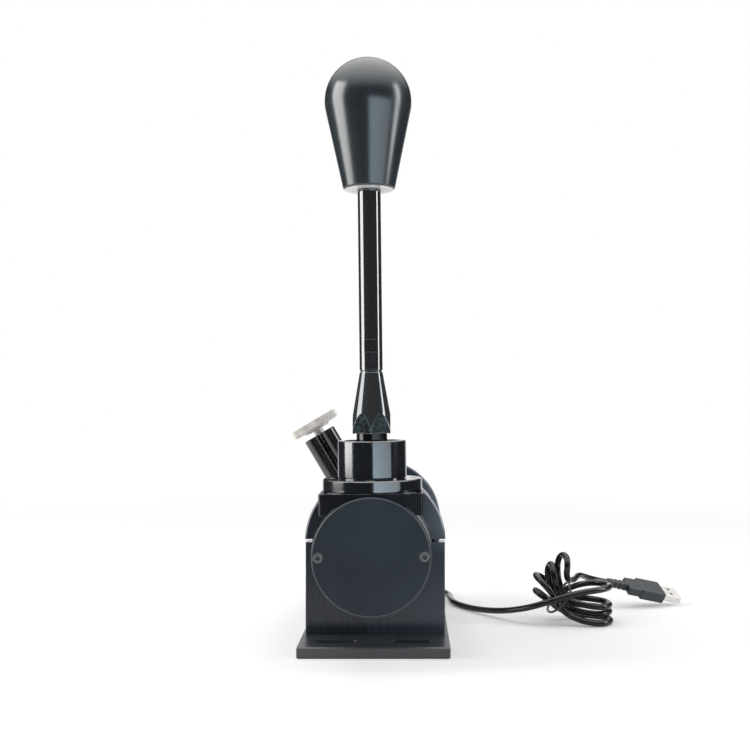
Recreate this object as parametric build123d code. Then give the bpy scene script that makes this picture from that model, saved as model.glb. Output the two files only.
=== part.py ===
from build123d import *
import os
from math import atan2, cos, degrees, pi, radians, sin, sqrt, tan

# Sequential gear shifter: a drum held in two split clamps carries a swinging lever, and a pair of
# slanted spring plungers centres the lever through a cam on the pivot shaft.
# Frame: X to the right, Y from the lever end to the cord end, Z up, origin under the base plate's middle.

# Base plate
plate_width = 80.5
plate_length = 180.0
plate_thick = 6.0
plate_chamfer = 0.6
slot_length = 22.5
slot_width = 6.6
slot_spacing = 40.6
slot_from_end = 14.0

# Split clamps
clamp_from_end = 30.0
clamp_depth = 10.0
clamp_wall = 8.6
clamp_side_inset = 0.7
clamp_chamfer = 0.9
axis_above_plate = 51.3
split_gap = 1.7
split_rise = 0.4
clamp_screw_gap = 3.0
clamp_screw_seat = 8.5
clamp_screw_depth = 14.0
base_screw_x = 24.0
base_screw_depth = 14.0

# Drum
drum_r = 30.0
drum_bore_r = 23.5
drum_past_clamp = 6.0
drum_fit = 0.05
drum_lean = 0.65
cover_inset = 0.5
cover_thick = 4.0
cover_chamfer = 0.6
cover_screw_inset = 3.2
cap_thick = 5.0
cap_chamfer = 1.0
cap_screw_inset = 4.1
cap_screw_count = 3

# Block, flange and collar round the lever
lever_from_front = 26.0
block_to_clamp = 6.0
block_top = 30.9
block_bottom = 20.1
block_chamfer = 0.8
block_corner_r = 1.5
saddle_flat = 24.0
flange_inset = 0.25
flange_thick = 6.1
collar_r = 17.75
collar_height = 19.6
collar_foot = 0.5
top_chamfer = 0.5
guide_bore_r = 14.5
bump_bore_r = 13.4
bump_height = 6.0
block_screw_from_side = 7.5
block_screw_from_end = 7.0
flange_screw_inset = 4.15

# Lever
post_r = 8.0
post_spigot_r = 5.0
post_spigot_length = 14.0
post_showing = 3.5
crown_height = 31.6
crown_flats = 19.4
crown_half_angle = 9.93
crown_dish = 0.5
rod_r = 6.0
rod_spigot_length = 12.0
rod_groove = 0.4
spanner_from_crown = 10.4
spanner_height = 6.4
rod_showing = 94.7
spanner_across = 10.1
knob_r = 22.5
knob_cone_height = 45.4
knob_bottom_r = 13.5
knob_edge = 0.8
insert_r = 8.5
insert_length = 26.0

# Shaft, bearings, hub and cam
shaft_r = 6.0
bearing_outer_r = 14.0
bearing_width = 8.0
bearing_ring = 2.4
ball_r = 2.2
ball_count = 9
ball_play = 0.04
front_bearing_inset = 4.0
bearing_plate_thick = 8.0
rear_bearing_from_tube = 20.0
front_spacer = 3.0
hub_r = 15.0
hub_screw_from_end = 4.0
hub_top = 19.0
spacer_r = 8.2
shaft_ring_thick = 1.0
shaft_ring_r = 8.0
magnet_r = 3.0
magnet_length = 2.5
cam_r = 13.0
cam_width = 9.0

# Spring plungers, counted from the drum's axis outwards
tube_behind_clamp = 30.0
tube_angle = 30.0
tube_offset = 5.0
tube_r = 4.7
tube_bore_r = 3.15
tube_bottom = 25.5
tube_top = 67.0
tube_chamfer = 0.5
plunger_r = 3.0
plunger_top = 38.0
flank_sum = 24.5
plunger_gap = 0.35
tooth_tip = 23.2
tooth_root = 13.0
spring_wire_r = 0.45
spring_turns = 6
seat_thick = 1.6
bridge_height = 4.0
bridge_low = 56.0
finger_width = 2.6
finger_gap = 0.35
slot_play = 5.5
tension_block_width = 22.0
tension_block_top = 38.0
tension_block_front = 8.0
stud_y = 7.6
stud_r = 3.0
stud_bottom = 27.0
stud_ring_r = 4.0
stud_ring_thick = 0.8
wheel_r = 14.7
wheel_low = 71.2
wheel_thick = 4.9
hub_ring_r = 7.9
hub_ring_thick = 1.2
wheel_chamfer = 0.5

# Sensor and cord outlet
board_width = 40.0
board_height = 20.0
board_thick = 1.6
board_gap = 4.2
chip_size = 5.0
chip_thick = 1.2
spacer_post_x = 17.0
spacer_post_r = 2.5
cord_r = 1.9
gland_flange_r = 8.0
gland_flange_thick = 3.0
gland_r = 5.6
gland_tip_r = 3.3
gland_length = 10.0

axis_z = plate_thick + axis_above_plate
clamp_outer_r = drum_r + clamp_wall
clamp_width = 2 * clamp_outer_r - clamp_side_inset
clamp_screw_x = drum_r + clamp_screw_gap
block_size = 2 * lever_from_front
drum_front = -plate_length / 2 + clamp_from_end - block_to_clamp - block_size
drum_rear = plate_length / 2 - clamp_from_end + drum_past_clamp
lever_y = drum_front + lever_from_front
tube_y = -plate_length / 2 + clamp_from_end + clamp_depth + tube_behind_clamp
rear_plate_y = tube_y + rear_bearing_from_tube
cover_r = drum_r - cover_inset
cover_screw_r = cover_r - cover_screw_inset
cap_screw_r = drum_r - cap_screw_inset
flange_r = block_size / 2 - flange_inset
flange_screw_r = flange_r - flange_screw_inset
block_screw_x = block_size / 2 - block_screw_from_side
block_screw_y = block_size / 2 - block_screw_from_end
hub_length = 2 * (lever_from_front - front_bearing_inset - bearing_width - front_spacer)
collar_low = block_top + flange_thick
collar_top = collar_low + collar_height
crown_bottom = collar_top + post_showing
crown_top = crown_bottom + crown_height
spanner_low = crown_top + spanner_from_crown
spanner_high = spanner_low + spanner_height
knob_bottom = crown_top + rod_showing
knob_centre = knob_bottom + knob_cone_height
drum_place = Pos(0, 0, axis_z) * Rot(0, -drum_lean, 0)
tube_frame = Pos(0, tube_y, 0) * Rot(0, -tube_angle, 0)


def along_y(radius, y_from, y_to):
    return Pos(0, (y_from + y_to) / 2, 0) * Rot(90, 0, 0) * Cylinder(radius, y_to - y_from)


def upright(radius, z_from, z_to):
    return Pos(0, 0, (z_from + z_to) / 2) * Cylinder(radius, z_to - z_from)


def block_between(x_from, x_to, y_from, y_to, z_from, z_to):
    centre = Pos((x_from + x_to) / 2, (y_from + y_to) / 2, (z_from + z_to) / 2)
    return centre * Box(x_to - x_from, y_to - y_from, z_to - z_from)


def turned(*profile):
    # A turned piece about Z from its half profile, given as radius and height pairs.
    return revolve(make_face(Polyline(*[(r, 0, z) for r, z in profile], close=True)), Axis.Z)


def group(solids):
    return Compound(children=list(solids))


def arcs_of(part, radius):
    circles = part.edges().filter_by(GeomType.CIRCLE)
    return circles.filter_by(lambda edge: abs(edge.radius - radius) < 0.01)


def cap_screw(shank_r, length):
    # A socket head screw standing on z = 0, with its shank below.
    head_r = 1.75 * shank_r + 0.1
    head_height = 2 * shank_r
    key = extrude(RegularPolygon(0.95 * shank_r, 6), 1.2 * shank_r)
    head = upright(head_r, 0, head_height) - Pos(0, 0, 0.8 * shank_r) * key
    return chamfer(arcs_of(head, head_r).sort_by(Axis.Z)[-1], 0.12 * shank_r) + upright(shank_r, -length, 0)


def flat_screw(shank_r, length):
    # A countersunk socket screw with its flat top at z = 0.
    head_r = 1.9 * shank_r
    sink = head_r - shank_r
    screw = turned((0, 0), (head_r, 0), (shank_r, -sink), (shank_r, -length), (0, -length))
    return screw - Pos(0, 0, -0.8 * shank_r) * extrude(RegularPolygon(0.8 * shank_r, 6), 0.8 * shank_r)


def flat_screw_hole(shank_r, length, play):
    head_r = 1.9 * shank_r
    sink = head_r - shank_r
    wide = shank_r + play
    return turned((0, 0.5), (head_r, 0.5), (head_r, 0), (wide, play - sink), (wide, -length), (0, -length))


# Base plate and clamps

def slot_places():
    along = plate_length / 2 - slot_from_end
    return [(x, y) for x in (-slot_spacing / 2, slot_spacing / 2) for y in (-along, along)]


def clamp_centres():
    middle = plate_length / 2 - clamp_from_end - clamp_depth / 2
    return (-middle, middle)


def base_screw_places():
    return [(x, y) for y in clamp_centres() for x in (-base_screw_x, base_screw_x)]


base_screw_r = 2.5
clamp_screw_r = 2.0


def make_base_plate():
    plate = block_between(-plate_width / 2, plate_width / 2, -plate_length / 2, plate_length / 2, 0, plate_thick)
    plate = chamfer(plate.edges(), plate_chamfer)
    for x, y in slot_places():
        plate -= Pos(x, y, 0) * extrude(SlotOverall(slot_length, slot_width), plate_thick)
    for x, y in base_screw_places():
        plate -= Pos(x, y, 0) * Rot(180, 0, 0) * flat_screw_hole(base_screw_r, plate_thick, 0.25)
    return plate


def make_base_screws():
    length = plate_thick + base_screw_depth
    return group(Pos(x, y, 0) * Rot(180, 0, 0) * flat_screw(base_screw_r, length) for x, y in base_screw_places())


def make_clamp_base(y):
    half = clamp_depth / 2
    top = axis_z + split_rise - split_gap / 2
    body = block_between(-clamp_width / 2, clamp_width / 2, y - half, y + half, plate_thick, top)
    body = chamfer(body.edges().filter_by(Axis.Z), clamp_chamfer / 2)
    body -= Pos(0, 0, axis_z) * along_y(drum_r + drum_fit, y - half, y + half)
    for x in (-clamp_screw_x, clamp_screw_x):
        body -= Pos(x, y, 0) * upright(clamp_screw_r, top - clamp_screw_depth, top)
    for x in (-base_screw_x, base_screw_x):
        body -= Pos(x, y, 0) * upright(base_screw_r, plate_thick, plate_thick + base_screw_depth)
    return body


def make_clamp_cap(y):
    half = clamp_depth / 2
    low = axis_z + split_rise + split_gap / 2
    ring = along_y(clamp_outer_r, y - half, y + half)
    ring = Pos(0, 0, axis_z) * chamfer(arcs_of(ring, clamp_outer_r), clamp_chamfer)
    ring -= Pos(0, 0, axis_z) * along_y(drum_r + drum_fit, y - half, y + half)
    reach = 2 * clamp_outer_r
    ring -= block_between(-reach, reach, y - clamp_depth, y + clamp_depth, axis_z - reach, low)
    seat = axis_z + clamp_screw_seat
    pocket_r = 1.75 * clamp_screw_r + 0.3
    for x in (-clamp_screw_x, clamp_screw_x):
        ring -= Pos(x, y, 0) * upright(pocket_r, seat, axis_z + clamp_outer_r)
        ring -= Pos(x, y, 0) * upright(clamp_screw_r + 0.2, low - 1, seat + 1)
    return ring


def make_clamp_screws():
    seat = axis_z + clamp_screw_seat
    length = seat - (axis_z + split_rise - split_gap / 2 - clamp_screw_depth)
    places = [(x, y) for y in clamp_centres() for x in (-clamp_screw_x, clamp_screw_x)]
    return group(Pos(x, y, seat) * cap_screw(clamp_screw_r, length) for x, y in places)


# Drum and what is fixed to it, made about the drum's axis with Z up

cover_screw_r_shank = 1.5
cover_screw_length = 9.0
cover_screw_sink = 3.3
cap_screw_shank = 1.5
cap_screw_length = 9.0


def cover_screw_places():
    return [(-cover_screw_r, 0), (cover_screw_r, 0)]


def cap_screw_places():
    step = 2 * pi / cap_screw_count
    return [(cap_screw_r * sin(step * i), cap_screw_r * cos(step * i)) for i in range(cap_screw_count)]


def front_facing(y):
    # Places a piece made along Z so that its top looks to the front, at this y.
    return Pos(0, y, 0) * Rot(90, 0, 0)


def rear_facing(y):
    return Pos(0, y, 0) * Rot(-90, 0, 0)


def make_drum_shell():
    shell = along_y(drum_r, drum_front, drum_rear) - along_y(drum_bore_r, drum_front, drum_rear)
    front_of_clamp = drum_front + block_size
    shell -= block_between(-drum_r, drum_r, drum_front, front_of_clamp, saddle_flat, drum_r + 1)
    shell -= Pos(0, lever_y, 0) * upright(guide_bore_r, 0, drum_r)
    slot_half = tube_offset + tube_r
    shell -= tube_frame * block_between(-slot_half, slot_half, -tube_r, tube_r, drum_bore_r - 6, drum_r + 1)
    shell -= tube_frame * Pos(0, stud_y, 0) * upright(stud_r + 0.4, 0, drum_r + 1)
    for x, z in cover_screw_places():
        shell -= Pos(x, 0, z) * along_y(cover_screw_r_shank, drum_front, drum_front + cover_screw_length)
    for x, z in cap_screw_places():
        shell -= Pos(x, 0, z) * along_y(cap_screw_shank, drum_rear - cap_screw_length, drum_rear)
    for x, y in block_screw_places():
        shell -= Pos(x, y, 0) * upright(block_screw_shank, 0, drum_r)
    return shell


def make_front_cover():
    front = drum_front - cover_thick
    cover = along_y(cover_r, front, drum_front)
    cover = chamfer(arcs_of(cover, cover_r).sort_by(Axis.Y)[0], cover_chamfer)
    sink_r = 1.75 * cover_screw_r_shank + 0.25
    for x, z in cover_screw_places():
        cover -= Pos(x, 0, z) * along_y(sink_r, front, front + cover_screw_sink)
        cover -= Pos(x, 0, z) * along_y(cover_screw_r_shank, front, drum_front)
    return cover


def make_cover_screws():
    seat = drum_front - cover_thick + cover_screw_sink
    screw = cap_screw(cover_screw_r_shank, cover_thick - cover_screw_sink + cover_screw_length - 1)
    return group(Pos(x, 0, z) * front_facing(seat) * screw for x, z in cover_screw_places())


block_screw_shank = 2.0
block_screw_length = 14.0


def block_screw_places():
    return [(x, lever_y + y) for x in (-block_screw_x, block_screw_x) for y in (-block_screw_y, block_screw_y)]


def make_lever_block():
    half = block_size / 2
    body = block_between(-half, half, lever_y - half, lever_y + half, block_bottom, block_top)
    body = chamfer(body.edges().filter_by(Axis.Z), block_chamfer)
    low_corners = body.edges().filter_by(Axis.Y).sort_by(Axis.Z)[:2]
    body = fillet(low_corners, block_corner_r)
    drum = along_y(drum_r, lever_y - block_size, lever_y + block_size)
    drum -= block_between(-drum_r, drum_r, lever_y - block_size, lever_y + block_size, saddle_flat, drum_r + 1)
    body -= drum
    body -= Pos(0, lever_y, 0) * upright(guide_bore_r, 0, drum_r + 2)
    for x, y in block_screw_places():
        body -= Pos(x, y, block_top) * flat_screw_hole(block_screw_shank, block_screw_length, 0.2)
    for x, y in flange_screw_places():
        body -= Pos(x, y, 0) * upright(flange_screw_shank, block_top - flange_screw_depth, block_top)
    return body


def make_block_screws():
    screw = flat_screw(block_screw_shank, block_screw_length)
    return group(Pos(x, y, block_top) * screw for x, y in block_screw_places())


flange_screw_shank = 1.5
flange_screw_depth = 5.5


def flange_screw_places():
    turns = [(0, 1), (1, 0), (0, -1), (-1, 0)]
    return [(flange_screw_r * a, lever_y + flange_screw_r * b) for a, b in turns]


def make_guide_flange():
    flange = upright(flange_r, block_top, collar_low)
    flange = chamfer(arcs_of(flange, flange_r), top_chamfer)
    flange = Pos(0, lever_y, 0) * (flange - upright(guide_bore_r, block_top, collar_low))
    for x, y in flange_screw_places():
        flange -= Pos(x, y, collar_low) * flat_screw_hole(flange_screw_shank, flange_thick, 0.2)
    return flange


def make_flange_screws():
    screw = flat_screw(flange_screw_shank, flange_thick + flange_screw_depth - 0.5)
    return group(Pos(x, y, collar_low) * screw for x, y in flange_screw_places())


def make_guide_collar():
    foot_r = collar_r - collar_foot
    outline = turned((guide_bore_r, collar_low), (foot_r, collar_low), (foot_r, collar_low + collar_foot),
                     (collar_r, collar_low + 2 * collar_foot), (collar_r, collar_top - top_chamfer),
                     (collar_r - top_chamfer, collar_top), (guide_bore_r, collar_top))
    seat = upright(guide_bore_r + 1, collar_top - bump_height - 1, collar_top - 1)
    return Pos(0, lever_y, 0) * (outline - seat)


def make_bump_ring():
    ring = upright(guide_bore_r + 1, collar_top - bump_height - 1, collar_top - 1)
    return Pos(0, lever_y, 0) * (ring - upright(bump_bore_r, collar_low, collar_top))


# Bearings and the plates that hold them

def bearing_starts():
    return (drum_front + front_bearing_inset, rear_plate_y)


def make_bearing_plate(y):
    plate = along_y(drum_bore_r, y, y + bearing_plate_thick)
    plate -= along_y(bearing_outer_r, y, y + bearing_width)
    return plate


def make_outer_rings():
    inner = bearing_outer_r - bearing_ring
    rings = []
    for y in bearing_starts():
        middle = y + bearing_width / 2
        ring = along_y(bearing_outer_r, y, y + bearing_width) - along_y(inner, y, y + bearing_width)
        rings.append(ring - Pos(0, middle, 0) * Rot(90, 0, 0) * Torus(ball_circle_r(), ball_r + ball_play))
    return group(rings)


def ball_circle_r():
    return (bearing_outer_r + shaft_r) / 2


def make_balls():
    step = 2 * pi / ball_count
    reach = ball_circle_r()
    balls = []
    for y in bearing_starts():
        for i in range(ball_count):
            place = Pos(reach * cos(step * i), y + bearing_width / 2, reach * sin(step * i))
            balls.append(place * Sphere(ball_r))
    return group(balls)


def make_inner_rings():
    outer = shaft_r + bearing_ring
    rings = []
    for y in bearing_starts():
        middle = y + bearing_width / 2
        ring = along_y(outer, y, y + bearing_width) - along_y(shaft_r, y, y + bearing_width)
        rings.append(ring - Pos(0, middle, 0) * Rot(90, 0, 0) * Torus(ball_circle_r(), ball_r + ball_play))
    return group(rings)


# Lever and shaft

def shaft_ends():
    front = bearing_starts()[0] - shaft_ring_thick - 1
    rear = rear_plate_y + bearing_width + shaft_ring_thick + 1
    return front, rear


def make_pivot_shaft():
    front, rear = shaft_ends()
    shaft = along_y(shaft_r, front, rear)
    return chamfer(arcs_of(shaft, shaft_r), 0.5)


def make_shaft_rings():
    rings = []
    for y in (bearing_starts()[0] - shaft_ring_thick, rear_plate_y + bearing_width):
        rings.append(along_y(shaft_ring_r, y, y + shaft_ring_thick) - along_y(shaft_r, y, y + shaft_ring_thick))
    return group(rings)


def make_shaft_spacers():
    hub_front = lever_y - hub_length / 2
    hub_rear = lever_y + hub_length / 2
    cam_front = tube_y - cam_width / 2
    cam_rear = tube_y + cam_width / 2
    spans = [(bearing_starts()[0] + bearing_width, hub_front), (hub_rear, cam_front), (cam_rear, rear_plate_y)]
    return group(along_y(spacer_r, a, b) - along_y(shaft_r, a, b) for a, b in spans)


hub_screw_shank = 2.0
hub_screw_length = 10.0


def hub_screw_ys():
    reach = hub_length / 2 - hub_screw_from_end
    return (lever_y - reach, lever_y + reach)


def make_lever_hub():
    front = lever_y - hub_length / 2
    rear = lever_y + hub_length / 2
    hub = along_y(hub_r, front, rear)
    hub += Pos(0, lever_y, 0) * upright(hub_length / 2, 0, hub_top)
    hub -= along_y(shaft_r, front, rear)
    hub -= Pos(0, lever_y, 0) * upright(post_spigot_r, shaft_r, hub_top)
    for y in hub_screw_ys():
        hub -= Pos(0, y, 0) * upright(hub_screw_shank, -hub_r, -shaft_r)
    return hub


def make_hub_screws():
    # Two grub screws that hold the hub on the shaft from below.
    low = -shaft_r - hub_screw_length * 0.7
    screws = []
    for y in hub_screw_ys():
        grub = upright(hub_screw_shank, low, -shaft_r)
        key = Pos(0, 0, low) * extrude(RegularPolygon(0.55 * hub_screw_shank * 2, 6), 2)
        screws.append(Pos(0, y, 0) * (grub - key))
    return group(screws)


def make_lever_post():
    low = shaft_r + 1
    high = crown_bottom + post_spigot_length
    post = turned((0, low), (post_spigot_r, low), (post_spigot_r, hub_top), (post_r, hub_top),
                  (post_r, crown_bottom), (post_spigot_r, crown_bottom), (post_spigot_r, high), (0, high))
    return Pos(0, lever_y, 0) * post


def make_lever_crown():
    corner_r = crown_flats / 2 / cos(pi / 6)
    cone_low_r = rod_r + (crown_top - crown_bottom) * tan(radians(crown_half_angle))
    cone = turned((0, crown_bottom), (cone_low_r, crown_bottom), (rod_r, crown_top), (0, crown_top))
    hexagon = Pos(0, 0, crown_bottom) * extrude(RegularPolygon(corner_r, 6), crown_top - crown_bottom)
    crown = cone & (hexagon.rotate(Axis.Z, 30))
    dish_r = 1.2 * corner_r
    dish_depth = crown_dish * dish_r / (corner_r - crown_flats / 2)
    crown -= turned((0, crown_bottom + dish_depth * corner_r / dish_r),
                    (0, crown_bottom - 1), (corner_r, crown_bottom - 1), (corner_r, crown_bottom))
    crown += upright(post_r, crown_bottom, crown_bottom + 3)
    crown -= upright(post_spigot_r, crown_bottom, crown_bottom + post_spigot_length)
    crown -= upright(rod_r - 1, crown_top - rod_spigot_length, crown_top)
    return Pos(0, lever_y, 0) * crown


def make_lever_rod():
    low = crown_top - rod_spigot_length
    high = knob_bottom + insert_length
    groove = rod_r - rod_groove
    rod = turned((0, low), (rod_r - 1, low), (rod_r - 1, crown_top), (groove, crown_top),
                 (groove, crown_top + 0.8), (rod_r, crown_top + 1.2), (rod_r, knob_bottom),
                 (rod_r - 1, knob_bottom), (rod_r - 1, high), (0, high))
    for side in (-1, 1):
        middle = side * (spanner_across / 2 + rod_r)
        rod -= Pos(0, middle, (spanner_low + spanner_high) / 2) * Box(
            2 * rod_r, 2 * rod_r, spanner_high - spanner_low)
    return Pos(0, lever_y, 0) * rod


def make_lever_knob():
    # A ball whose sides run down as a cone to the bottom rim.
    drop = knob_centre - knob_bottom
    reach = sqrt(drop ** 2 + knob_bottom_r ** 2)
    slope = atan2(drop, knob_bottom_r) + pi / 2 - atan2(sqrt(reach ** 2 - knob_r ** 2), knob_r) - pi / 2
    touch_r = knob_r * cos(slope)
    touch_z = knob_centre - knob_r * sin(slope)
    half_way = (slope - pi / 2) / 2
    bulge = (knob_r * cos(-half_way), 0, knob_centre + knob_r * sin(-half_way))
    rim = knob_bottom_r - knob_edge
    side = Polyline((0, 0, knob_bottom), (rim, 0, knob_bottom),
                    (knob_bottom_r, 0, knob_bottom + knob_edge), (touch_r, 0, touch_z))
    crown = ThreePointArc((touch_r, 0, touch_z), bulge, (0, 0, knob_centre + knob_r))
    axis = Line((0, 0, knob_centre + knob_r), (0, 0, knob_bottom))
    knob = revolve(make_face(side.edges() + crown.edges() + axis.edges()), Axis.Z)
    return Pos(0, lever_y, 0) * (knob - upright(insert_r, knob_bottom, knob_bottom + insert_length + 1))


def make_knob_insert():
    top = knob_bottom + insert_length + 1
    insert = upright(insert_r, knob_bottom, top) - upright(rod_r - 1, knob_bottom, top - 1)
    return Pos(0, lever_y, 0) * insert


def make_shaft_magnet():
    rear = shaft_ends()[1]
    return along_y(magnet_r, rear, rear + magnet_length)


# Cam and plungers, made in the tubes' frame: X across the two tubes, Z outwards along them

def make_detent_cam():
    half = cam_width / 2
    disc = along_y(cam_r, -half, half)
    root_x = flank_sum - tooth_root + 2
    tip_x = flank_sum - tooth_tip
    tooth = make_face(Polyline((-root_x, 0, tooth_root - 2), (-tip_x, 0, tooth_tip), (tip_x, 0, tooth_tip),
                               (root_x, 0, tooth_root - 2), close=True))
    cam = disc + Pos(0, half, 0) * extrude(tooth, cam_width)
    return tube_frame * (cam - along_y(shaft_r, -half, half))


def plunger_centre():
    return flank_sum - tube_offset + (plunger_r + plunger_gap) * sqrt(2)


def make_plunger(side):
    low = plunger_centre()
    rod = upright(plunger_r, low, plunger_top) + Pos(0, 0, low) * Sphere(plunger_r)
    return tube_frame * Pos(side * tube_offset, 0, 0) * rod


def make_tension_tube(side):
    tube = upright(tube_r, tube_bottom, tube_top)
    tube = chamfer(arcs_of(tube, tube_r).sort_by(Axis.Z)[-1], tube_chamfer)
    tube -= upright(tube_bore_r, tube_bottom, tube_top)
    half = finger_width / 2 + finger_gap
    low = bridge_low - slot_play
    tube -= block_between(-half, half, 0, tube_r + 1, low, bridge_low + bridge_height + slot_play)
    return tube_frame * Pos(side * tube_offset, 0, 0) * tube


def make_tension_block():
    half = tension_block_width / 2
    back = stud_y + stud_r + 3
    body = block_between(-half, half, -tension_block_front, back, 0, tension_block_top)
    body = chamfer(body.edges().filter_by(Axis.Z), 1.0)
    body -= along_y(drum_r, -tension_block_width, tension_block_width)
    for side in (-1, 1):
        body -= Pos(side * tube_offset, 0, 0) * upright(tube_r, 0, tension_block_top)
    body -= Pos(0, stud_y, 0) * upright(stud_r + drum_fit, 0, tension_block_top)
    return tube_frame * body


def spring_ends():
    return plunger_top, bridge_low - seat_thick


def make_spring(side):
    # Quarter turns of a round wire, each a pair of arcs that share a tangent.
    low, high = spring_ends()
    wind_r = tube_bore_r - 0.35 - spring_wire_r
    start = low + spring_wire_r
    rise = (high - low - 2 * spring_wire_r) / spring_turns
    steps = 4 * spring_turns
    points = []
    tangents = []
    for i in range(steps + 1):
        angle = pi / 2 * i
        points.append(Vector(wind_r * cos(angle), wind_r * sin(angle), start + rise * i / 4))
        tangents.append(Vector(-sin(angle), cos(angle), rise / (2 * pi * wind_r)).normalized())
    section = Plane(origin=points[0], z_dir=tangents[0]) * Circle(spring_wire_r)
    spring = sweep(section, path=Wire(arc_pairs(points, tangents)))
    return tube_frame * Pos(side * tube_offset, 0, 0) * spring


def arc_pairs(points, tangents):
    # Joins points by pairs of arcs, so that the path passes each point along its tangent.
    edges = []
    for a, b, ta, tb in zip(points, points[1:], tangents, tangents[1:]):
        across = b - a
        lean = 2 * (1 - ta.dot(tb))
        both = across.dot(ta + tb)
        if lean < 1e-9:
            reach = across.dot(across) / (2 * both)
        else:
            reach = (-both + sqrt(both ** 2 + lean * across.dot(across))) / lean
        joint = (a + ta * reach + b - tb * reach) * 0.5
        edges.append(leave_along(a, joint, ta))
        edges.append(leave_along(joint, b, edges[-1] % 1))
    return edges


def leave_along(a, b, tangent):
    if (b - a).normalized().cross(tangent).length < 1e-4:
        return Line(a, b)
    return TangentArc(a, b, tangent=tangent)


def make_spring_seats():
    low = bridge_low - seat_thick
    seat = upright(plunger_r + 0.05, low, bridge_low)
    return tube_frame * group(Pos(side * tube_offset, 0, 0) * seat for side in (-1, 1))


def make_tension_bridge():
    wide = tube_offset + finger_width / 2
    near = tube_r + 0.4
    far = stud_y + stud_r + 2.4
    high = bridge_low + bridge_height
    bar = block_between(-wide, wide, near, far, bridge_low, high)
    bar = chamfer(bar.edges().filter_by(Axis.Z), 0.8)
    for side in (-1, 1):
        x = side * tube_offset
        bar += block_between(x - finger_width / 2, x + finger_width / 2, -1, near + 1, bridge_low, high)
    bar -= Pos(0, stud_y, 0) * upright(stud_r + drum_fit, bridge_low, high)
    return tube_frame * bar


def make_tension_stud():
    stud = chamfer(upright(stud_r, stud_bottom, wheel_low).edges(), 0.4)
    return tube_frame * Pos(0, stud_y, 0) * stud


def make_stud_rings():
    rings = []
    for low in (bridge_low - stud_ring_thick - 0.1, bridge_low + bridge_height + 0.1):
        ring = upright(stud_ring_r, low, low + stud_ring_thick) - upright(stud_r, low, low + stud_ring_thick)
        rings.append(Pos(0, stud_y, 0) * ring)
    return tube_frame * group(rings)


def make_thumb_wheel():
    high = wheel_low + wheel_thick
    rim = chamfer(upright(wheel_r, wheel_low, high).edges(), wheel_chamfer)
    wheel = rim + upright(hub_ring_r, wheel_low - hub_ring_thick, wheel_low)
    wheel -= upright(stud_r, wheel_low - hub_ring_thick, wheel_low)
    return tube_frame * Pos(0, stud_y, 0) * wheel


# Rear end: cap, sensor and cord outlet

def make_rear_cap():
    cap = along_y(drum_r, drum_rear, drum_rear + cap_thick)
    cap = chamfer(arcs_of(cap, drum_r).sort_by(Axis.Y)[-1], cap_chamfer)
    cap -= along_y(cord_r, drum_rear, drum_rear + cap_thick)
    for x, z in cap_screw_places():
        cap -= Pos(x, 0, z) * rear_facing(drum_rear + cap_thick) * flat_screw_hole(
            cap_screw_shank, cap_thick, 0.2)
    return cap


def make_cap_screws():
    screw = flat_screw(cap_screw_shank, cap_thick + cap_screw_length - 1)
    return group(Pos(x, 0, z) * rear_facing(drum_rear + cap_thick) * screw for x, z in cap_screw_places())


def gland_end():
    return drum_rear + cap_thick + gland_flange_thick + gland_length


def make_cord_gland():
    high = gland_flange_thick + gland_length
    gland = turned((cord_r, 0), (gland_flange_r, 0), (gland_flange_r, gland_flange_thick - 0.5),
                   (gland_flange_r - 0.5, gland_flange_thick), (gland_r, gland_flange_thick),
                   (gland_tip_r, high), (cord_r, high))
    return rear_facing(drum_rear + cap_thick) * gland


def board_y():
    return rear_plate_y + bearing_plate_thick + board_gap + shaft_ring_thick + magnet_length


def make_sensor_board():
    y = board_y()
    wide = board_width / 2
    tall = board_height / 2
    board = block_between(-wide, wide, y, y + board_thick, -tall, tall)
    return chamfer(board.edges().filter_by(Axis.Y), 1.5)


def make_sensor_chip():
    y = board_y()
    half = chip_size / 2
    return block_between(-half, half, y - chip_thick, y, -half, half)


def make_board_spacers():
    low = rear_plate_y + bearing_plate_thick
    post = along_y(spacer_post_r, low, board_y())
    return group(Pos(x, 0, 0) * post for x in (-spacer_post_x, spacer_post_x))


def make_board_lead():
    return along_y(cord_r, board_y() + board_thick, gland_end())


# Cord, its hank and the plug

# The cord leaves the gland level, falls to the table behind the base and runs forward past it.
cord_route = [
    (0, 84, 57.3), (0, 99, 57.3), (2, 113, 50), (6, 121.5, 36), (12, 124, 20), (20, 122, 7),
    (29.5, 115, 2.2), (39, 104, 2), (46.6, 86, 2), (46.2, 69, 2), (49, 52, 2), (60, 33.5, 2.2),
    (74, 13.5, 4.6), (88, -2, 9.2), (100, -9.8, 14.2), (110, -12, 17.9),
]
# Its first loop lies open on top of the hank, outside the tie.
hank_entry = [
    (120.5, -12.6, 20.8), (130, -9.8, 21.6), (137.8, -4.2, 21.8), (141, 4.2, 21.9), (138.4, 12.6, 22),
    (131.3, 17.8, 21.7), (123.7, 18.8, 20.2), (117, 16.9, 18.1),
]
# Where the cord passes the tie, in turn: behind, in front, behind and so on.
hank_passes = [
    (110.5, 14.2, 18.2), (111, -4.4, 7.4), (110, 6.2, 7.2), (111, 2.6, 10.2), (110, 9.2, 12.8),
    (112.6, 1.1, 14.8), (111.5, 6.2, 17.4), (114.8, 2.6, 25.8),
]
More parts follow.
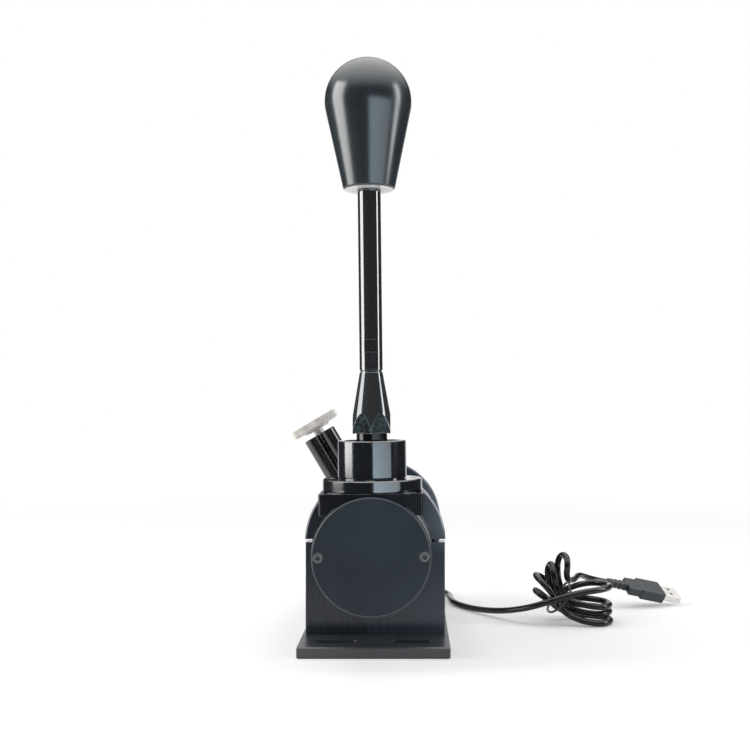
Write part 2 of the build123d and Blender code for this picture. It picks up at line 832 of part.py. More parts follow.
# Each lobe between two passes: the point it bends over, its tip, half its width, its twist and its fullness.
hank_lobes = [
    ((103.5, 23.5), (95.2, 28.4), 10.2, -6, 1.1),
    ((121, 0.8), (141, 2.3), 14.8, 0, 1.35),
    ((102.5, 14), (95, 19.4), 6.6, 0, 1.0),
    ((121, 6.2), (141.3, 6.8), 14.6, 0, 1.35),
    ((102.5, 23), (105.2, 35.6), 7.1, 18, 1.2),
    ((121, 11.2), (140.8, 11.3), 14.4, 0, 1.35),
    ((109.8, 29), (113, 41.2), 7.2, 22, 1.2),
]
hank_middle_y = 4.0
lobe_steps = 7
lead_route = [(120.5, 14.5, 24), (124.5, 24, 25.5), (129.8, 34, 22.9), (136.3, 42.7, 19.7), (146.6, 46, 17.2)]
tie_r = 0.7
tie_origin = (109.8, 0, 13.5)
tie_lean = 46.2
tie_corners = [
    (-10.6, -2.5), (-4, -7.8), (9.5, -9.2), (17, -4), (21.8, 4.5), (20.2, 11.2), (7, 9), (-4, 7.8), (-10.2, 3),
]
plug_roll = 25.0
relief_length = 14.0
relief_core_r = 2.5
relief_rib_r = 3.3
relief_rib_fall = 0.12
relief_ribs = 4
housing_length = 26.0
housing_width = 15.6
housing_thick = 7.6
housing_neck_length = 8.6
housing_neck_inset = 0.9
housing_round = 1.6
shell_length = 12.6
shell_width = 12.0
shell_thick = 4.5
shell_wall = 0.35
shell_hole = 2.2
shell_hole_x = 2.6
tongue_thick = 1.8


def bent_line(start, bend, tip, share):
    # A point on the curve that leaves start for the bend and ends at the tip.
    a = (1 - share) ** 2
    b = 2 * share * (1 - share)
    c = share ** 2
    return a * start[0] + b * bend[0] + c * tip[0], a * start[1] + b * bend[1] + c * tip[1]


def lobe_points(side, entry, leave, lobe):
    bend, tip, half_width, twist, fullness = lobe
    peak_angle = atan2(1, sqrt(fullness)) if fullness else 0
    peak_angle = pi / 2 - peak_angle
    peak = cos(peak_angle) * sin(peak_angle) ** fullness
    entry_side = entry[1] - hank_middle_y
    leave_side = leave[1] - hank_middle_y
    bulge = (half_width - 0.6 * max(abs(entry_side), abs(leave_side))) / peak
    dx = tip[0] - bend[0]
    dz = tip[1] - bend[1]
    run = sqrt(dx ** 2 + dz ** 2)
    points = []
    for k in range(1, lobe_steps):
        angle = pi * k / lobe_steps
        share = sin(angle)
        fade = (1 + cos(angle)) / 2
        x0, z0 = bent_line((entry[0], entry[2]), bend, tip, share)
        x1, z1 = bent_line((leave[0], leave[2]), bend, tip, share)
        x = x0 * fade + x1 * (1 - fade)
        z = z0 * fade + z1 * (1 - fade)
        out = side * bulge * cos(angle) * share ** fullness
        lift = out * sin(radians(twist))
        middle = hank_middle_y + entry_side * fade + leave_side * (1 - fade)
        points.append((x - lift * dz / run, middle + out * cos(radians(twist)), z + lift * dx / run))
    return points


def hank_points():
    points = list(hank_entry)
    side = 1
    for entry, leave, lobe in zip(hank_passes, hank_passes[1:], hank_lobes):
        points.append(entry)
        points += lobe_points(side, entry, leave, lobe)
        side = -side
    points.append(hank_passes[-1])
    return [Vector(*p) for p in points]


def report_tube(name, tube, path_length, radii):
    share = tube.volume / (pi * cord_r ** 2 * path_length)
    print(f"{name}: length {path_length:.1f}, volume over section {share:.4f}, least radius {min(radii):.1f}")


def free_cord(name, route):
    points = [Vector(*p) for p in route]
    radii = []
    for a, b, c in zip(points, points[1:], points[2:]):
        shorter = min((b - a).length, (c - b).length)
        turn = radians((b - a).get_angle(c - b))
        radii.append(0.45 * shorter / tan(turn / 2))
    path = FilletPolyline(*points, radius=radii)
    section = Plane(origin=points[0], z_dir=points[1] - points[0]) * Circle(cord_r)
    tube = sweep(section, path=path)
    report_tube(name, tube, path.length, radii)
    print(name, "radii", [round(r, 1) for r in radii])
    return tube


def make_cord():
    return free_cord("cord", cord_route)


def make_cord_lead():
    return free_cord("cord_lead", lead_route)


def make_cord_hank():
    # One unbroken tube whose ends run straight for a diameter, in line with the free cord.
    start = Vector(*cord_route[-1])
    inward = (start - Vector(*cord_route[-2])).normalized()
    end = Vector(*lead_route[0])
    outward = (Vector(*lead_route[1]) - end).normalized()
    first = start + inward * (2 * cord_r)
    last = end - outward * (2 * cord_r)
    points = [first] + hank_points() + [last]
    tangents = [(c - a).normalized() for a, c in zip(points, points[2:])]
    tangents = [inward] + tangents + [outward]
    edges = arc_pairs(points, tangents)
    path = Wire([Line(start, first)] + edges + [Line(last, end)])
    section = Plane(origin=start, z_dir=inward) * Circle(cord_r)
    tube = sweep(section, path=path)
    radii = [edge.radius for edge in path.edges().filter_by(GeomType.CIRCLE)]
    report_tube("cord_hank", tube, path.length, radii)
    report_gap(path)
    return tube


def report_gap(path):
    # The least gap of the hank to itself, between points further apart along it than a few diameters.
    count = int(path.length)
    spots = [path @ (i / count) for i in range(count + 1)]
    skip = int(8 * cord_r)
    least = path.length
    for i, a in enumerate(spots):
        for b in spots[i + skip:]:
            least = min(least, (b - a).length)
    lowest = min(p.Z for p in spots) - cord_r
    print(f"cord_hank: least gap to itself {least - 2 * cord_r:.2f}, lowest point {lowest:.2f}")


def make_hank_tie():
    lean = radians(tie_lean)
    origin = Vector(*tie_origin)
    corners = [origin + Vector(w * cos(lean), y, w * sin(lean)) for y, w in tie_corners]
    path = FilletPolyline(*corners, radius=2.4, close=True)
    start = path @ 0
    section = Plane(origin=start, z_dir=path % 0) * Circle(tie_r)
    return sweep(section, path=path)


def plug_plane(along):
    # A plane across the plug at this distance from its cord end, with X across the plug's width.
    start = Vector(*lead_route[-1])
    axis = plug_axis()
    level = Vector(-axis.Y, axis.X, 0).normalized() * -1
    above = level.cross(axis)
    width = level * cos(radians(plug_roll)) - above * sin(radians(plug_roll))
    return Plane(origin=start + axis * along, x_dir=width, z_dir=axis)


def plug_axis():
    return (Vector(*lead_route[-1]) - Vector(*lead_route[-2])).normalized()


def make_plug_relief():
    pitch = relief_length / relief_ribs
    outline = [(0, 0), (relief_core_r, 0)]
    for i in range(relief_ribs):
        low = i * pitch
        rib_r = relief_rib_r - relief_rib_fall * (relief_ribs - i)
        outline += [(relief_core_r, low + 0.3 * pitch), (rib_r, low + 0.45 * pitch)]
        outline += [(rib_r, low + 0.85 * pitch), (relief_core_r, low + pitch)]
    outline.append((0, relief_length))
    return plug_plane(0).location * turned(*outline)


def make_plug_housing():
    # The body steps down to a narrower neck at its cord end.
    neck_width = housing_width - 2 * housing_neck_inset
    neck_thick = housing_thick - 2 * housing_neck_inset
    neck = extrude(RectangleRounded(neck_width, neck_thick, housing_round), housing_neck_length + 1)
    neck = chamfer(neck.edges().filter_by(Plane.XY).group_by(Axis.Z)[0], 0.7)
    front_length = housing_length - housing_neck_length
    front = extrude(RectangleRounded(housing_width, housing_thick, housing_round), front_length)
    front = chamfer(front.edges().filter_by(Plane.XY), 0.7)
    box = neck + Pos(0, 0, housing_neck_length) * front
    shell = extrude(Rectangle(shell_width, shell_thick), housing_length)
    return plug_plane(relief_length).location * (box - Pos(0, 0, housing_length - 4) * shell)


def make_plug_shell():
    length = shell_length + 4
    shell = extrude(RectangleRounded(shell_width, shell_thick, 0.5), length)
    shell -= extrude(Rectangle(shell_width - 2 * shell_wall, shell_thick - 2 * shell_wall), length)
    hole = Box(shell_hole, 2 * shell_thick, shell_hole)
    for x in (-shell_hole_x, shell_hole_x):
        shell -= Pos(x, 0, length - 6.2) * hole
    return plug_plane(relief_length + housing_length - 4).location * shell


def make_plug_tongue():
    wide = shell_width - 2 * shell_wall
    inner = shell_thick - 2 * shell_wall
    tongue = extrude(Rectangle(wide, inner), 4)
    strip = extrude(Pos(0, (tongue_thick - inner) / 2) * Rectangle(wide, tongue_thick), shell_length + 3.2)
    return plug_plane(relief_length + housing_length - 4).location * (tongue + strip)


front_y, rear_y = clamp_centres()
fixed = {
    "base_plate": make_base_plate(),
    "base_screws": make_base_screws(),
    "front_clamp_base": make_clamp_base(front_y),
    "front_clamp_cap": make_clamp_cap(front_y),
    "rear_clamp_base": make_clamp_base(rear_y),
    "rear_clamp_cap": make_clamp_cap(rear_y),
    "clamp_screws": make_clamp_screws(),
    "cord": make_cord(),
    "cord_hank": make_cord_hank(),
    "cord_lead": make_cord_lead(),
    "hank_tie": make_hank_tie(),
    "plug_relief": make_plug_relief(),
    "plug_housing": make_plug_housing(),
    "plug_shell": make_plug_shell(),
    "plug_tongue": make_plug_tongue(),
}
on_drum = {
    "drum_shell": make_drum_shell(),
    "front_cover": make_front_cover(),
    "cover_screws": make_cover_screws(),
    "lever_block": make_lever_block(),
    "block_screws": make_block_screws(),
    "guide_flange": make_guide_flange(),
    "flange_screws": make_flange_screws(),
    "guide_collar": make_guide_collar(),
    "bump_ring": make_bump_ring(),
    "front_bearing_plate": make_bearing_plate(bearing_starts()[0]),
    "rear_bearing_plate": make_bearing_plate(bearing_starts()[1]),
    "bearing_outer_rings": make_outer_rings(),
    "bearing_balls": make_balls(),
    "tension_block": make_tension_block(),
    "tension_tube_left": make_tension_tube(-1),
    "tension_tube_right": make_tension_tube(1),
    "spring_left": make_spring(-1),
    "spring_right": make_spring(1),
    "rear_cap": make_rear_cap(),
    "cap_screws": make_cap_screws(),
    "cord_gland": make_cord_gland(),
    "sensor_board": make_sensor_board(),
    "sensor_chip": make_sensor_chip(),
    "board_spacers": make_board_spacers(),
    "board_lead": make_board_lead(),
    "pivot_shaft": make_pivot_shaft(),
    "bearing_inner_rings": make_inner_rings(),
    "shaft_rings": make_shaft_rings(),
    "shaft_spacers": make_shaft_spacers(),
    "shaft_magnet": make_shaft_magnet(),
    "lever_hub": make_lever_hub(),
    "hub_screws": make_hub_screws(),
    "detent_cam": make_detent_cam(),
    "lever_post": make_lever_post(),
    "lever_crown": make_lever_crown(),
    "lever_rod": make_lever_rod(),
    "lever_knob": make_lever_knob(),
    "knob_insert": make_knob_insert(),
    "plunger_left": make_plunger(-1),
    "plunger_right": make_plunger(1),
    "spring_seats": make_spring_seats(),
    "tension_bridge": make_tension_bridge(),
    "tension_stud": make_tension_stud(),
    "stud_rings": make_stud_rings(),
    "thumb_wheel": make_thumb_wheel(),
}

os.makedirs("parts", exist_ok=True)
for name, shape in fixed.items():
    export_step(shape, f"parts/{name}.step")
for name, shape in on_drum.items():
    export_step(drum_place * shape, f"parts/{name}.step")
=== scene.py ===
import math
import bmesh
import bpy
from mathutils import Matrix, Vector


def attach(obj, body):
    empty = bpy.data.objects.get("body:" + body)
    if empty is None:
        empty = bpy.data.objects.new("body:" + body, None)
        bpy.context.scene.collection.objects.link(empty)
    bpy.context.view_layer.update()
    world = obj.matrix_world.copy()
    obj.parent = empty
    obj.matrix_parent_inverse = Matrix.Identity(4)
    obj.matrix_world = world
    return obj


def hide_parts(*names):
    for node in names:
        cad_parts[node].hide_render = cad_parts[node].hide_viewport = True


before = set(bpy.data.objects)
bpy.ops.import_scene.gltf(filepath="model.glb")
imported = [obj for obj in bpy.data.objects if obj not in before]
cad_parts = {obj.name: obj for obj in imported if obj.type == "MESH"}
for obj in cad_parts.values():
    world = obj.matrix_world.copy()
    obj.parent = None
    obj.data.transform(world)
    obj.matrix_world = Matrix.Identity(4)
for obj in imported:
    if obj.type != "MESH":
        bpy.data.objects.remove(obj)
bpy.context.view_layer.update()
print("frame loaded with", len(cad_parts), "solid nodes")

mm = 0.001
# where the drum's axis, the spring tubes and the lever stand, in mm and degrees
layout = {"axisHigh": 57.3, "drumTurn": -0.65, "tubeY": -20.0, "tubeTurn": -30.0, "leverY": -92.0}


def move(x, y, z):
    return Matrix.Translation((x * mm, y * mm, z * mm))


def tilt(degrees):
    return Matrix.Rotation(math.radians(degrees), 4, "Y")


drumFrame = move(0, 0, layout["axisHigh"]) @ tilt(layout["drumTurn"])
tubeFrame = drumFrame @ move(0, layout["tubeY"], 0) @ tilt(layout["tubeTurn"])
leverFrame = drumFrame @ move(0, layout["leverY"], 0)

# Nodes that the trees below are made of


def addNode(tree, kind, links=None, **settings):
    node = tree.nodes.new(kind)
    for key, value in settings.items():
        setattr(node, key, value)
    for socket, source in (links or {}).items():
        target = node.inputs[socket]
        if isinstance(source, (int, float, tuple, str)):
            target.default_value = source
        else:
            tree.links.new(source, target)
    return node


def addMath(tree, operation, first, second=0.0):
    return addNode(tree, "ShaderNodeMath", {0: first, 1: second}, operation=operation).outputs[0]


def times(tree, first, second):
    return addMath(tree, "MULTIPLY", first, second)


def addVector(tree, operation, first, second=(0, 0, 0)):
    node = addNode(tree, "ShaderNodeVectorMath", {0: first, 1: second}, operation=operation)
    return node.outputs["Value" if operation in ("DOT_PRODUCT", "LENGTH") else "Vector"]


def objectPlace(tree):
    return addNode(tree, "ShaderNodeTexCoord").outputs["Object"]


def apart(tree, vector):
    return addNode(tree, "ShaderNodeSeparateXYZ", {0: vector}).outputs


def ramp(tree, value, start, stop, low=0.0, high=1.0):
    # goes evenly from low to high while the value goes from start to stop
    settings = {"Value": value, "From Min": start, "From Max": stop, "To Min": low, "To Max": high}
    return addNode(tree, "ShaderNodeMapRange", settings).outputs[0]


def spread(tree, value, low, high):
    # maps the middle of a noise, where most of its values are, to a range
    return ramp(tree, value, 0.3, 0.7, low, high)


def blend(tree, factor, low, high):
    # a number between two, by a mask
    return addNode(tree, "ShaderNodeMix", {"Factor": factor, "A": low, "B": high}).outputs[0]


def between(tree, factor, first, second):
    # a colour between two, by a mask
    node = addNode(tree, "ShaderNodeMix", {"Factor": factor}, data_type="RGBA")
    for socket, value in (("A", first), ("B", second)):
        target = [s for s in node.inputs if s.name == socket and s.type == "RGBA"][0]
        if isinstance(value, tuple):
            target.default_value = (*value, 1)
        else:
            tree.links.new(value, target)
    return [s for s in node.outputs if s.type == "RGBA"][0]


# Camera, lamps and floor

photoCamera = {"focalPixels": 1065, "framePixels": 750, "sensor": 36, "eye": (0.0196, -0.644, 0.1332),
               "axisX": 411, "axisY": 403, "clipStart": 0.01}


def placeCamera(look):
    data = bpy.data.cameras.new("photoCamera")
    data.sensor_width = look["sensor"]
    data.lens = look["focalPixels"] / look["framePixels"] * look["sensor"]
    middle = look["framePixels"] / 2
    data.shift_x = (middle - look["axisX"]) / look["framePixels"]
    data.shift_y = (look["axisY"] - middle) / look["framePixels"]
    data.clip_start = look["clipStart"]
    camera = bpy.data.objects.new("photoCamera", data)
    camera.location = look["eye"]
    camera.rotation_euler = (math.radians(90), 0, 0)  # level
    bpy.context.collection.objects.link(camera)
    bpy.context.scene.camera = camera


placeCamera(photoCamera)

# name: place, point it faces, width, height, radiance, colour, shown in reflections
softboxes = {
    "leftSoftbox": ((-1.0, -0.20, 0.47), (0, -0.09, 0.16), 0.66, 0.96, 6.4, (1, 0.995, 0.98), True),
    "rightSoftbox": ((1.05, -0.16, 0.52), (0, -0.09, 0.16), 0.26, 0.80, 7.5, (0.97, 0.98, 1), True),
    "frontSoftbox": ((0.9, -1.5, 0.5), (0, -0.05, 0.12), 0.9, 0.6, 1.6, (0.82, 0.92, 1), False),
    "topSoftbox": ((0.0, 0.10, 1.35), (0, 0, 0), 1.3, 1.0, 1.5, (1, 1, 1), False),
}


def hangSoftbox(name, place, aim, width, height, radiance, colour, mirrored):
    data = bpy.data.lights.new(name, "AREA")
    data.shape = "RECTANGLE"
    data.size = width
    data.size_y = height
    data.energy = radiance * math.pi * width * height
    data.color = colour
    lamp = bpy.data.objects.new(name, data)
    lamp.location = place
    lamp.rotation_euler = (Vector(aim) - Vector(place)).to_track_quat("-Z", "Y").to_euler()
    lamp.visible_camera = False
    lamp.visible_glossy = mirrored
    bpy.context.collection.objects.link(lamp)


for name, settings in softboxes.items():
    hangSoftbox(name, *settings)

# What glossy surfaces see of the room: dark to the front, a cool window to its right and low down,
# the white backdrop behind and a bright ceiling. From, to and top of the window are in degrees, and its
# shares are its strength at each side.
studio = {
    "ambient": 0.5, "darkRoom": 0.035, "backdrop": 1.1, "backdropFrom": 0.88, "backdropTo": 0.98,
    "ceiling": 2.8, "ceilingFrom": 0.40, "ceilingTo": 0.98,
    "window": 3.4, "windowColour": (0.68, 0.86, 1.0), "windowFrom": 4.0, "windowTo": 66.0, "windowTop": -0.8,
    "leftShare": 1.05, "rightShare": 0.6, "leftBlur": 0.03, "rightBlur": 0.05, "topBlur": 0.008,
}


def lightWorld(look):
    world = bpy.data.worlds.new("whiteStudio")
    world.use_nodes = True
    world.cycles.sampling_method = "NONE"
    bpy.context.scene.world = world
    tree = world.node_tree
    rays = addNode(tree, "ShaderNodeLightPath").outputs
    along, depth, rise = apart(tree, addNode(tree, "ShaderNodeTexCoord").outputs["Generated"])
    turn = addMath(tree, "ARCTAN2", along, times(tree, depth, -1.0))
    left, right, top = (math.radians(look[key]) for key in ("windowFrom", "windowTo", "windowTop"))
    leftSide = ramp(tree, turn, left, left + look["leftBlur"])
    rightSide = ramp(tree, turn, right, right + look["rightBlur"], 1, 0)
    window = times(tree, leftSide, rightSide)
    window = times(tree, window, ramp(tree, rise, top - look["topBlur"], top + look["topBlur"], 1, 0))
    window = times(tree, window, ramp(tree, turn, left, right, look["leftShare"], look["rightShare"]))
    paper = ramp(tree, depth, look["backdropFrom"], look["backdropTo"], look["darkRoom"], look["backdrop"])
    ceiling = ramp(tree, rise, look["ceilingFrom"], look["ceilingTo"], 0.0, look["ceiling"])
    mirrored = addMath(tree, "ADD", addMath(tree, "ADD", paper, ceiling), times(tree, window, look["window"]))
    level = blend(tree, rays["Is Glossy Ray"], look["ambient"], mirrored)
    clear = addMath(tree, "MAXIMUM", rays["Is Camera Ray"], rays["Is Transmission Ray"])
    level = blend(tree, clear, level, 1.0)
    tint = times(tree, window, rays["Is Glossy Ray"])
    back = tree.nodes["Background"]
    tree.links.new(between(tree, tint, (1.0, 1.0, 1.0), look["windowColour"]), back.inputs["Color"])
    tree.links.new(level, back.inputs["Strength"])


# White paper that gives some light of its own, more so far from the object. Reflections see it darker
# in front, lit behind, and not at all past its front end and far out at the sides. Lengths in metres.
paperFloor = {
    "reach": 30.0, "drop": 0.00005, "colour": (0.93, 0.93, 0.935), "roughness": 0.9,
    "glow": 0.22, "glowFrom": 0.26, "glowTo": 0.85, "frontShare": 0.30, "frontFrom": -0.34, "frontTo": -0.15,
    "backFrom": 0.15, "backTo": 0.5, "endAt": -0.60, "endBlur": 0.03,
    "sideFrom": 0.45, "sideTo": 0.65, "facingFrom": 0.80, "facingTo": 0.92,
}


def paperFinish(look):
    paper = bpy.data.materials.new("floorPaper")
    paper.use_nodes = True
    tree = paper.node_tree
    base = tree.nodes["Principled BSDF"]
    base.inputs["Roughness"].default_value = look["roughness"]
    base.inputs["Specular IOR Level"].default_value = 0.0
    place = objectPlace(tree)
    depth = apart(tree, place)[1]
    distance = addVector(tree, "LENGTH", place)
    rays = addNode(tree, "ShaderNodeLightPath").outputs
    front = times(tree, rays["Is Glossy Ray"], ramp(tree, depth, look["frontFrom"], look["frontTo"], 1, 0))
    dim = tuple(c * look["frontShare"] for c in look["colour"])
    tree.links.new(between(tree, front, look["colour"], dim), base.inputs["Base Color"])
    clear = addMath(tree, "MAXIMUM", rays["Is Camera Ray"], rays["Is Transmission Ray"])
    share = times(tree, clear, ramp(tree, distance, look["glowFrom"], look["glowTo"], look["glow"], 1.0))
    mirrored = times(tree, rays["Is Glossy Ray"], ramp(tree, depth, look["backFrom"], look["backTo"]))
    glow = addNode(tree, "ShaderNodeEmission").outputs[0]
    shine = addMath(tree, "ADD", share, mirrored)
    lit = addNode(tree, "ShaderNodeMixShader", {0: shine, 1: base.outputs[0], 2: glow}).outputs[0]
    facing = addMath(tree, "DIVIDE", depth, distance)
    far = ramp(tree, distance, look["sideFrom"], look["sideTo"])
    sides = times(tree, far, ramp(tree, facing, look["facingFrom"], look["facingTo"], 1, 0))
    past = ramp(tree, depth, look["endAt"] - look["endBlur"], look["endAt"] + look["endBlur"], 1, 0)
    ended = times(tree, rays["Is Glossy Ray"], addMath(tree, "MAXIMUM", sides, past))
    gone = addNode(tree, "ShaderNodeBsdfTransparent").outputs[0]
    both = addNode(tree, "ShaderNodeMixShader", {0: ended, 1: lit, 2: gone})
    tree.links.new(both.outputs[0], tree.nodes["Material Output"].inputs["Surface"])
    return paper


def layFloor(look):
    mesh = bpy.data.meshes.new("studioFloor")
    reach = look["reach"]
    corners = [(-reach, -reach, 0), (reach, -reach, 0), (reach, reach, 0), (-reach, reach, 0)]
    mesh.from_pydata(corners, [], [(0, 1, 2, 3)])
    floor = bpy.data.objects.new("studioFloor", mesh)
    floor.location.z = -look["drop"]
    bpy.context.collection.objects.link(floor)
    mesh.materials.append(paperFinish(look))


lightWorld(studio)
layFloor(paperFloor)
bpy.context.scene.view_settings.view_transform = "Standard"
print("camera, lamps and floor in place")

# Shader groups that more than one finish uses. Heights are in metres.

patterns = {
    "cloudDetail": 5.0, "cloudRoughness": 0.6, "grainDetail": 2.0, "grainHigh": 0.00006,
    "edgeStrength": 9.0, "edgeSamples": 4, "gapScale": 900.0, "gapDetail": 3.0, "gapLift": 0.2,
    "markDetail": 3.0, "lineDetail": 4.0, "lineHigh": 0.00004,
}


def newGroup(name, inputs, outputs):
    group = bpy.data.node_groups.new(name, "ShaderNodeTree")
    for label, value in inputs.items():
        kind = "NodeSocketVector" if isinstance(value, tuple) else "NodeSocketFloat"
        group.interface.new_socket(label, in_out="INPUT", socket_type=kind).default_value = value
    for label in outputs:
        kind = "NodeSocketVector" if label == "Normal" else "NodeSocketFloat"
        group.interface.new_socket(label, in_out="OUTPUT", socket_type=kind)
    return group, group.nodes.new("NodeGroupInput").outputs, group.nodes.new("NodeGroupOutput").inputs


def putOut(group, given, out, pattern, high):
    # gives out a pattern, and the bump that it makes
    links = {"Height": pattern, "Strength": given["Depth"], "Distance": high, "Normal": given["Normal"]}
    group.links.new(pattern, out["Value"])
    group.links.new(addNode(group, "ShaderNodeBump", links).outputs[0], out["Normal"])
    return group


def makeMottle():
    # slow change of shade and gloss over a surface, from handling and dye
    group, given, out = newGroup("mottle", {"Scale": 60.0, "Contrast": 1.0}, ["Value"])
    links = {"Vector": objectPlace(group), "Scale": given["Scale"], "Detail": patterns["cloudDetail"],
             "Roughness": patterns["cloudRoughness"]}
    cloud = addNode(group, "ShaderNodeTexNoise", links).outputs[0]
    strong = times(group, addMath(group, "SUBTRACT", cloud, 0.5), given["Contrast"])
    group.links.new(addMath(group, "ADD", strong, 0.5), out["Value"])
    return group


def makeGrain():
    # fine bead-blasted or moulded grain
    inputs = {"Scale": 3000.0, "Depth": 0.3, "Normal": (0, 0, 0)}
    group, given, out = newGroup("grain", inputs, ["Value", "Normal"])
    links = {"Vector": objectPlace(group), "Scale": given["Scale"], "Detail": patterns["grainDetail"]}
    pits = addNode(group, "ShaderNodeTexNoise", links).outputs[0]
    return putOut(group, given, out, pits, patterns["grainHigh"])


def makeWearGlint():
    # rounds the look of sharp edges and marks them for a lighter edge colour, which is wear from handling and
    # a painted edge highlight, with gaps
    group, given, out = newGroup("wornEdgeGlint", {"Radius": 0.0003, "Amount": 1.0}, ["Mask", "Normal"])
    links = {"Radius": given["Radius"]}
    soft = addNode(group, "ShaderNodeBevel", links, samples=patterns["edgeSamples"]).outputs[0]
    flat = addNode(group, "ShaderNodeNewGeometry").outputs["True Normal"]
    turn = addMath(group, "SUBTRACT", 1.0, addVector(group, "DOT_PRODUCT", soft, flat))
    links = {"Vector": objectPlace(group), "Scale": patterns["gapScale"], "Detail": patterns["gapDetail"]}
    gaps = addMath(group, "ADD", addNode(group, "ShaderNodeTexNoise", links).outputs[0], patterns["gapLift"])
    wearGlintMask = times(group, times(group, turn, patterns["edgeStrength"]), gaps)
    mask = times(group, wearGlintMask, given["Amount"])
    mask.node.use_clamp = True
    group.links.new(mask, out["Mask"])
    group.links.new(soft, out["Normal"])
    return group


def makeToolMarks():
    # marks that a lathe leaves: rings round an axis on the faces, and along it on the sides
    inputs = {"Centre": (0, 0, 0), "Axis": (0, 0, 1), "Scale": 2500.0, "Depth": 0.3, "Normal": (0, 0, 0)}
    group, given, out = newGroup("toolMarks", inputs, ["Value", "Normal"])
    local = addVector(group, "SUBTRACT", objectPlace(group), given["Centre"])
    along = addVector(group, "DOT_PRODUCT", local, given["Axis"])
    radius = addVector(group, "LENGTH", addVector(group, "CROSS_PRODUCT", local, given["Axis"]))
    path = addMath(group, "ADD", along, radius)
    links = {"W": path, "Scale": given["Scale"], "Detail": patterns["markDetail"]}
    rings = addNode(group, "ShaderNodeTexNoise", links, noise_dimensions="1D").outputs[0]
    return putOut(group, given, out, rings, patterns["lineHigh"])


def makeBrushing():
    # straight fine lines; Stretch is small along the lines
    inputs = {"Stretch": (1, 1, 1), "Scale": 2500.0, "Depth": 0.3, "Normal": (0, 0, 0)}
    group, given, out = newGroup("brushing", inputs, ["Value", "Normal"])
    place = addVector(group, "MULTIPLY", objectPlace(group), given["Stretch"])
    links = {"Vector": place, "Scale": given["Scale"], "Detail": patterns["lineDetail"]}
    lines = addNode(group, "ShaderNodeTexNoise", links).outputs[0]
    return putOut(group, given, out, lines, patterns["lineHigh"])


groups = {"mottle": makeMottle(), "grain": makeGrain(), "wearGlint": makeWearGlint(), "marks": makeToolMarks(),
          "brush": makeBrushing()}


def useGroup(tree, name, links=None):
    return addNode(tree, "ShaderNodeGroup", links, node_tree=groups[name])


def mottle(tree, scale, contrast=1.0):
    return useGroup(tree, "mottle", {"Scale": scale, "Contrast": contrast}).outputs[0]


def roughen(tree, name, scale, depth, normal, **extra):
    # a grain, brushing or tool mark group on top of a normal
    return useGroup(tree, name, {"Scale": scale, "Depth": depth, "Normal": normal, **extra}).outputs


def wearGlintEdges(tree, amount, radius=0.0003):
    return useGroup(tree, "wearGlint", {"Amount": amount, "Radius": radius}).outputs


def shaded(colour, factor, lift=0.0):
    return tuple(min(1, c * factor + lift) for c in colour)


def cloudy(tree, pattern, darker, lighter):
    return between(tree, spread(tree, pattern, 0.0, 1.0), darker, lighter)


def newFinish(name, metallic=0.0, ior=1.5, coat=0.0, coatRoughness=0.1):
    material = bpy.data.materials.new(name)
    material.use_nodes = True
    base = material.node_tree.nodes["Principled BSDF"]
    base.inputs["Metallic"].default_value = metallic
    base.inputs["IOR"].default_value = ior
    base.inputs["Coat Weight"].default_value = coat
    base.inputs["Coat Roughness"].default_value = coatRoughness
    return material, material.node_tree, base


def feed(tree, base, colour, roughness, normal):
    tree.links.new(colour, base.inputs["Base Color"])
    tree.links.new(roughness, base.inputs["Roughness"])
    tree.links.new(normal, base.inputs["Normal"])


# Finishes. In each dictionary, shades are the darkest and lightest colour of a surface, as factors of
# the finish's own colour where they are single numbers, and gloss is how far roughness goes either way.

leverAxis = tuple(leverFrame.to_3x3() @ Vector((0, 0, 1)))
leverCentre = tuple(leverFrame.translation)
drumAxis = (0, 1, 0)
drumCentre = tuple(drumFrame.translation)
tubeAxis = tuple(tubeFrame.to_3x3() @ Vector((0, 0, 1)))
tubeCentre = tuple(tubeFrame.translation)

anodising = {"edgeRadius": 0.00017, "cloudScale": 45.0, "grainScale": 2600.0, "lineScale": 2500.0,
             "shades": (0.85, 1.15), "lineShade": 1.9, "lineShare": 0.5, "gloss": (-0.04, 0.05),
             "topFrom": 0.02, "topTo": 0.35}


def anodised(name, colour, roughness, ior, grainDepth, edge, edgeColour=(0.10, 0.105, 0.115), brush=None,
             brushDepth=0.2, upGlintShare=1.0):
    # upGlintShare is the share of the lighter edge colour, wear and a painted highlight, that edges facing up
    # keep; the painted highlight stays strong on edges facing sideways and down
    look = anodising
    material, tree, base = newFinish(name, ior=ior)
    wearGlint = wearGlintEdges(tree, edge, look["edgeRadius"])
    cloud = mottle(tree, look["cloudScale"])
    normal = roughen(tree, "grain", look["grainScale"], grainDepth, wearGlint["Normal"])["Normal"]
    darker, lighter = look["shades"]
    shade = cloudy(tree, cloud, shaded(colour, darker), shaded(colour, lighter))
    if brush:
        lines = roughen(tree, "brush", look["lineScale"], brushDepth, normal, Stretch=brush)
        normal = lines["Normal"]
        lineColour = shaded(colour, look["lineShade"])
        shade = between(tree, spread(tree, lines["Value"], 0.0, look["lineShare"]), shade, lineColour)
    # painted edge highlight with wear: lighter edges, fading on edges that face up
    up = apart(tree, wearGlint["Normal"])[2]
    wearGlintMask = times(tree, wearGlint["Mask"], ramp(tree, up, look["topFrom"], look["topTo"], 1.0, upGlintShare))
    shade = between(tree, wearGlintMask, shade, edgeColour)
    low, high = look["gloss"]
    feed(tree, base, shade, spread(tree, cloud, roughness + low, roughness + high), normal)
    return material


turning = {"edge": 0.5, "edgeRadius": 0.0002, "edgeColour": (0.16, 0.165, 0.175), "markScale": 2200.0,
           "cloudScale": 60.0, "shades": (0.85, 1.15), "gloss": (-0.03, 0.04)}


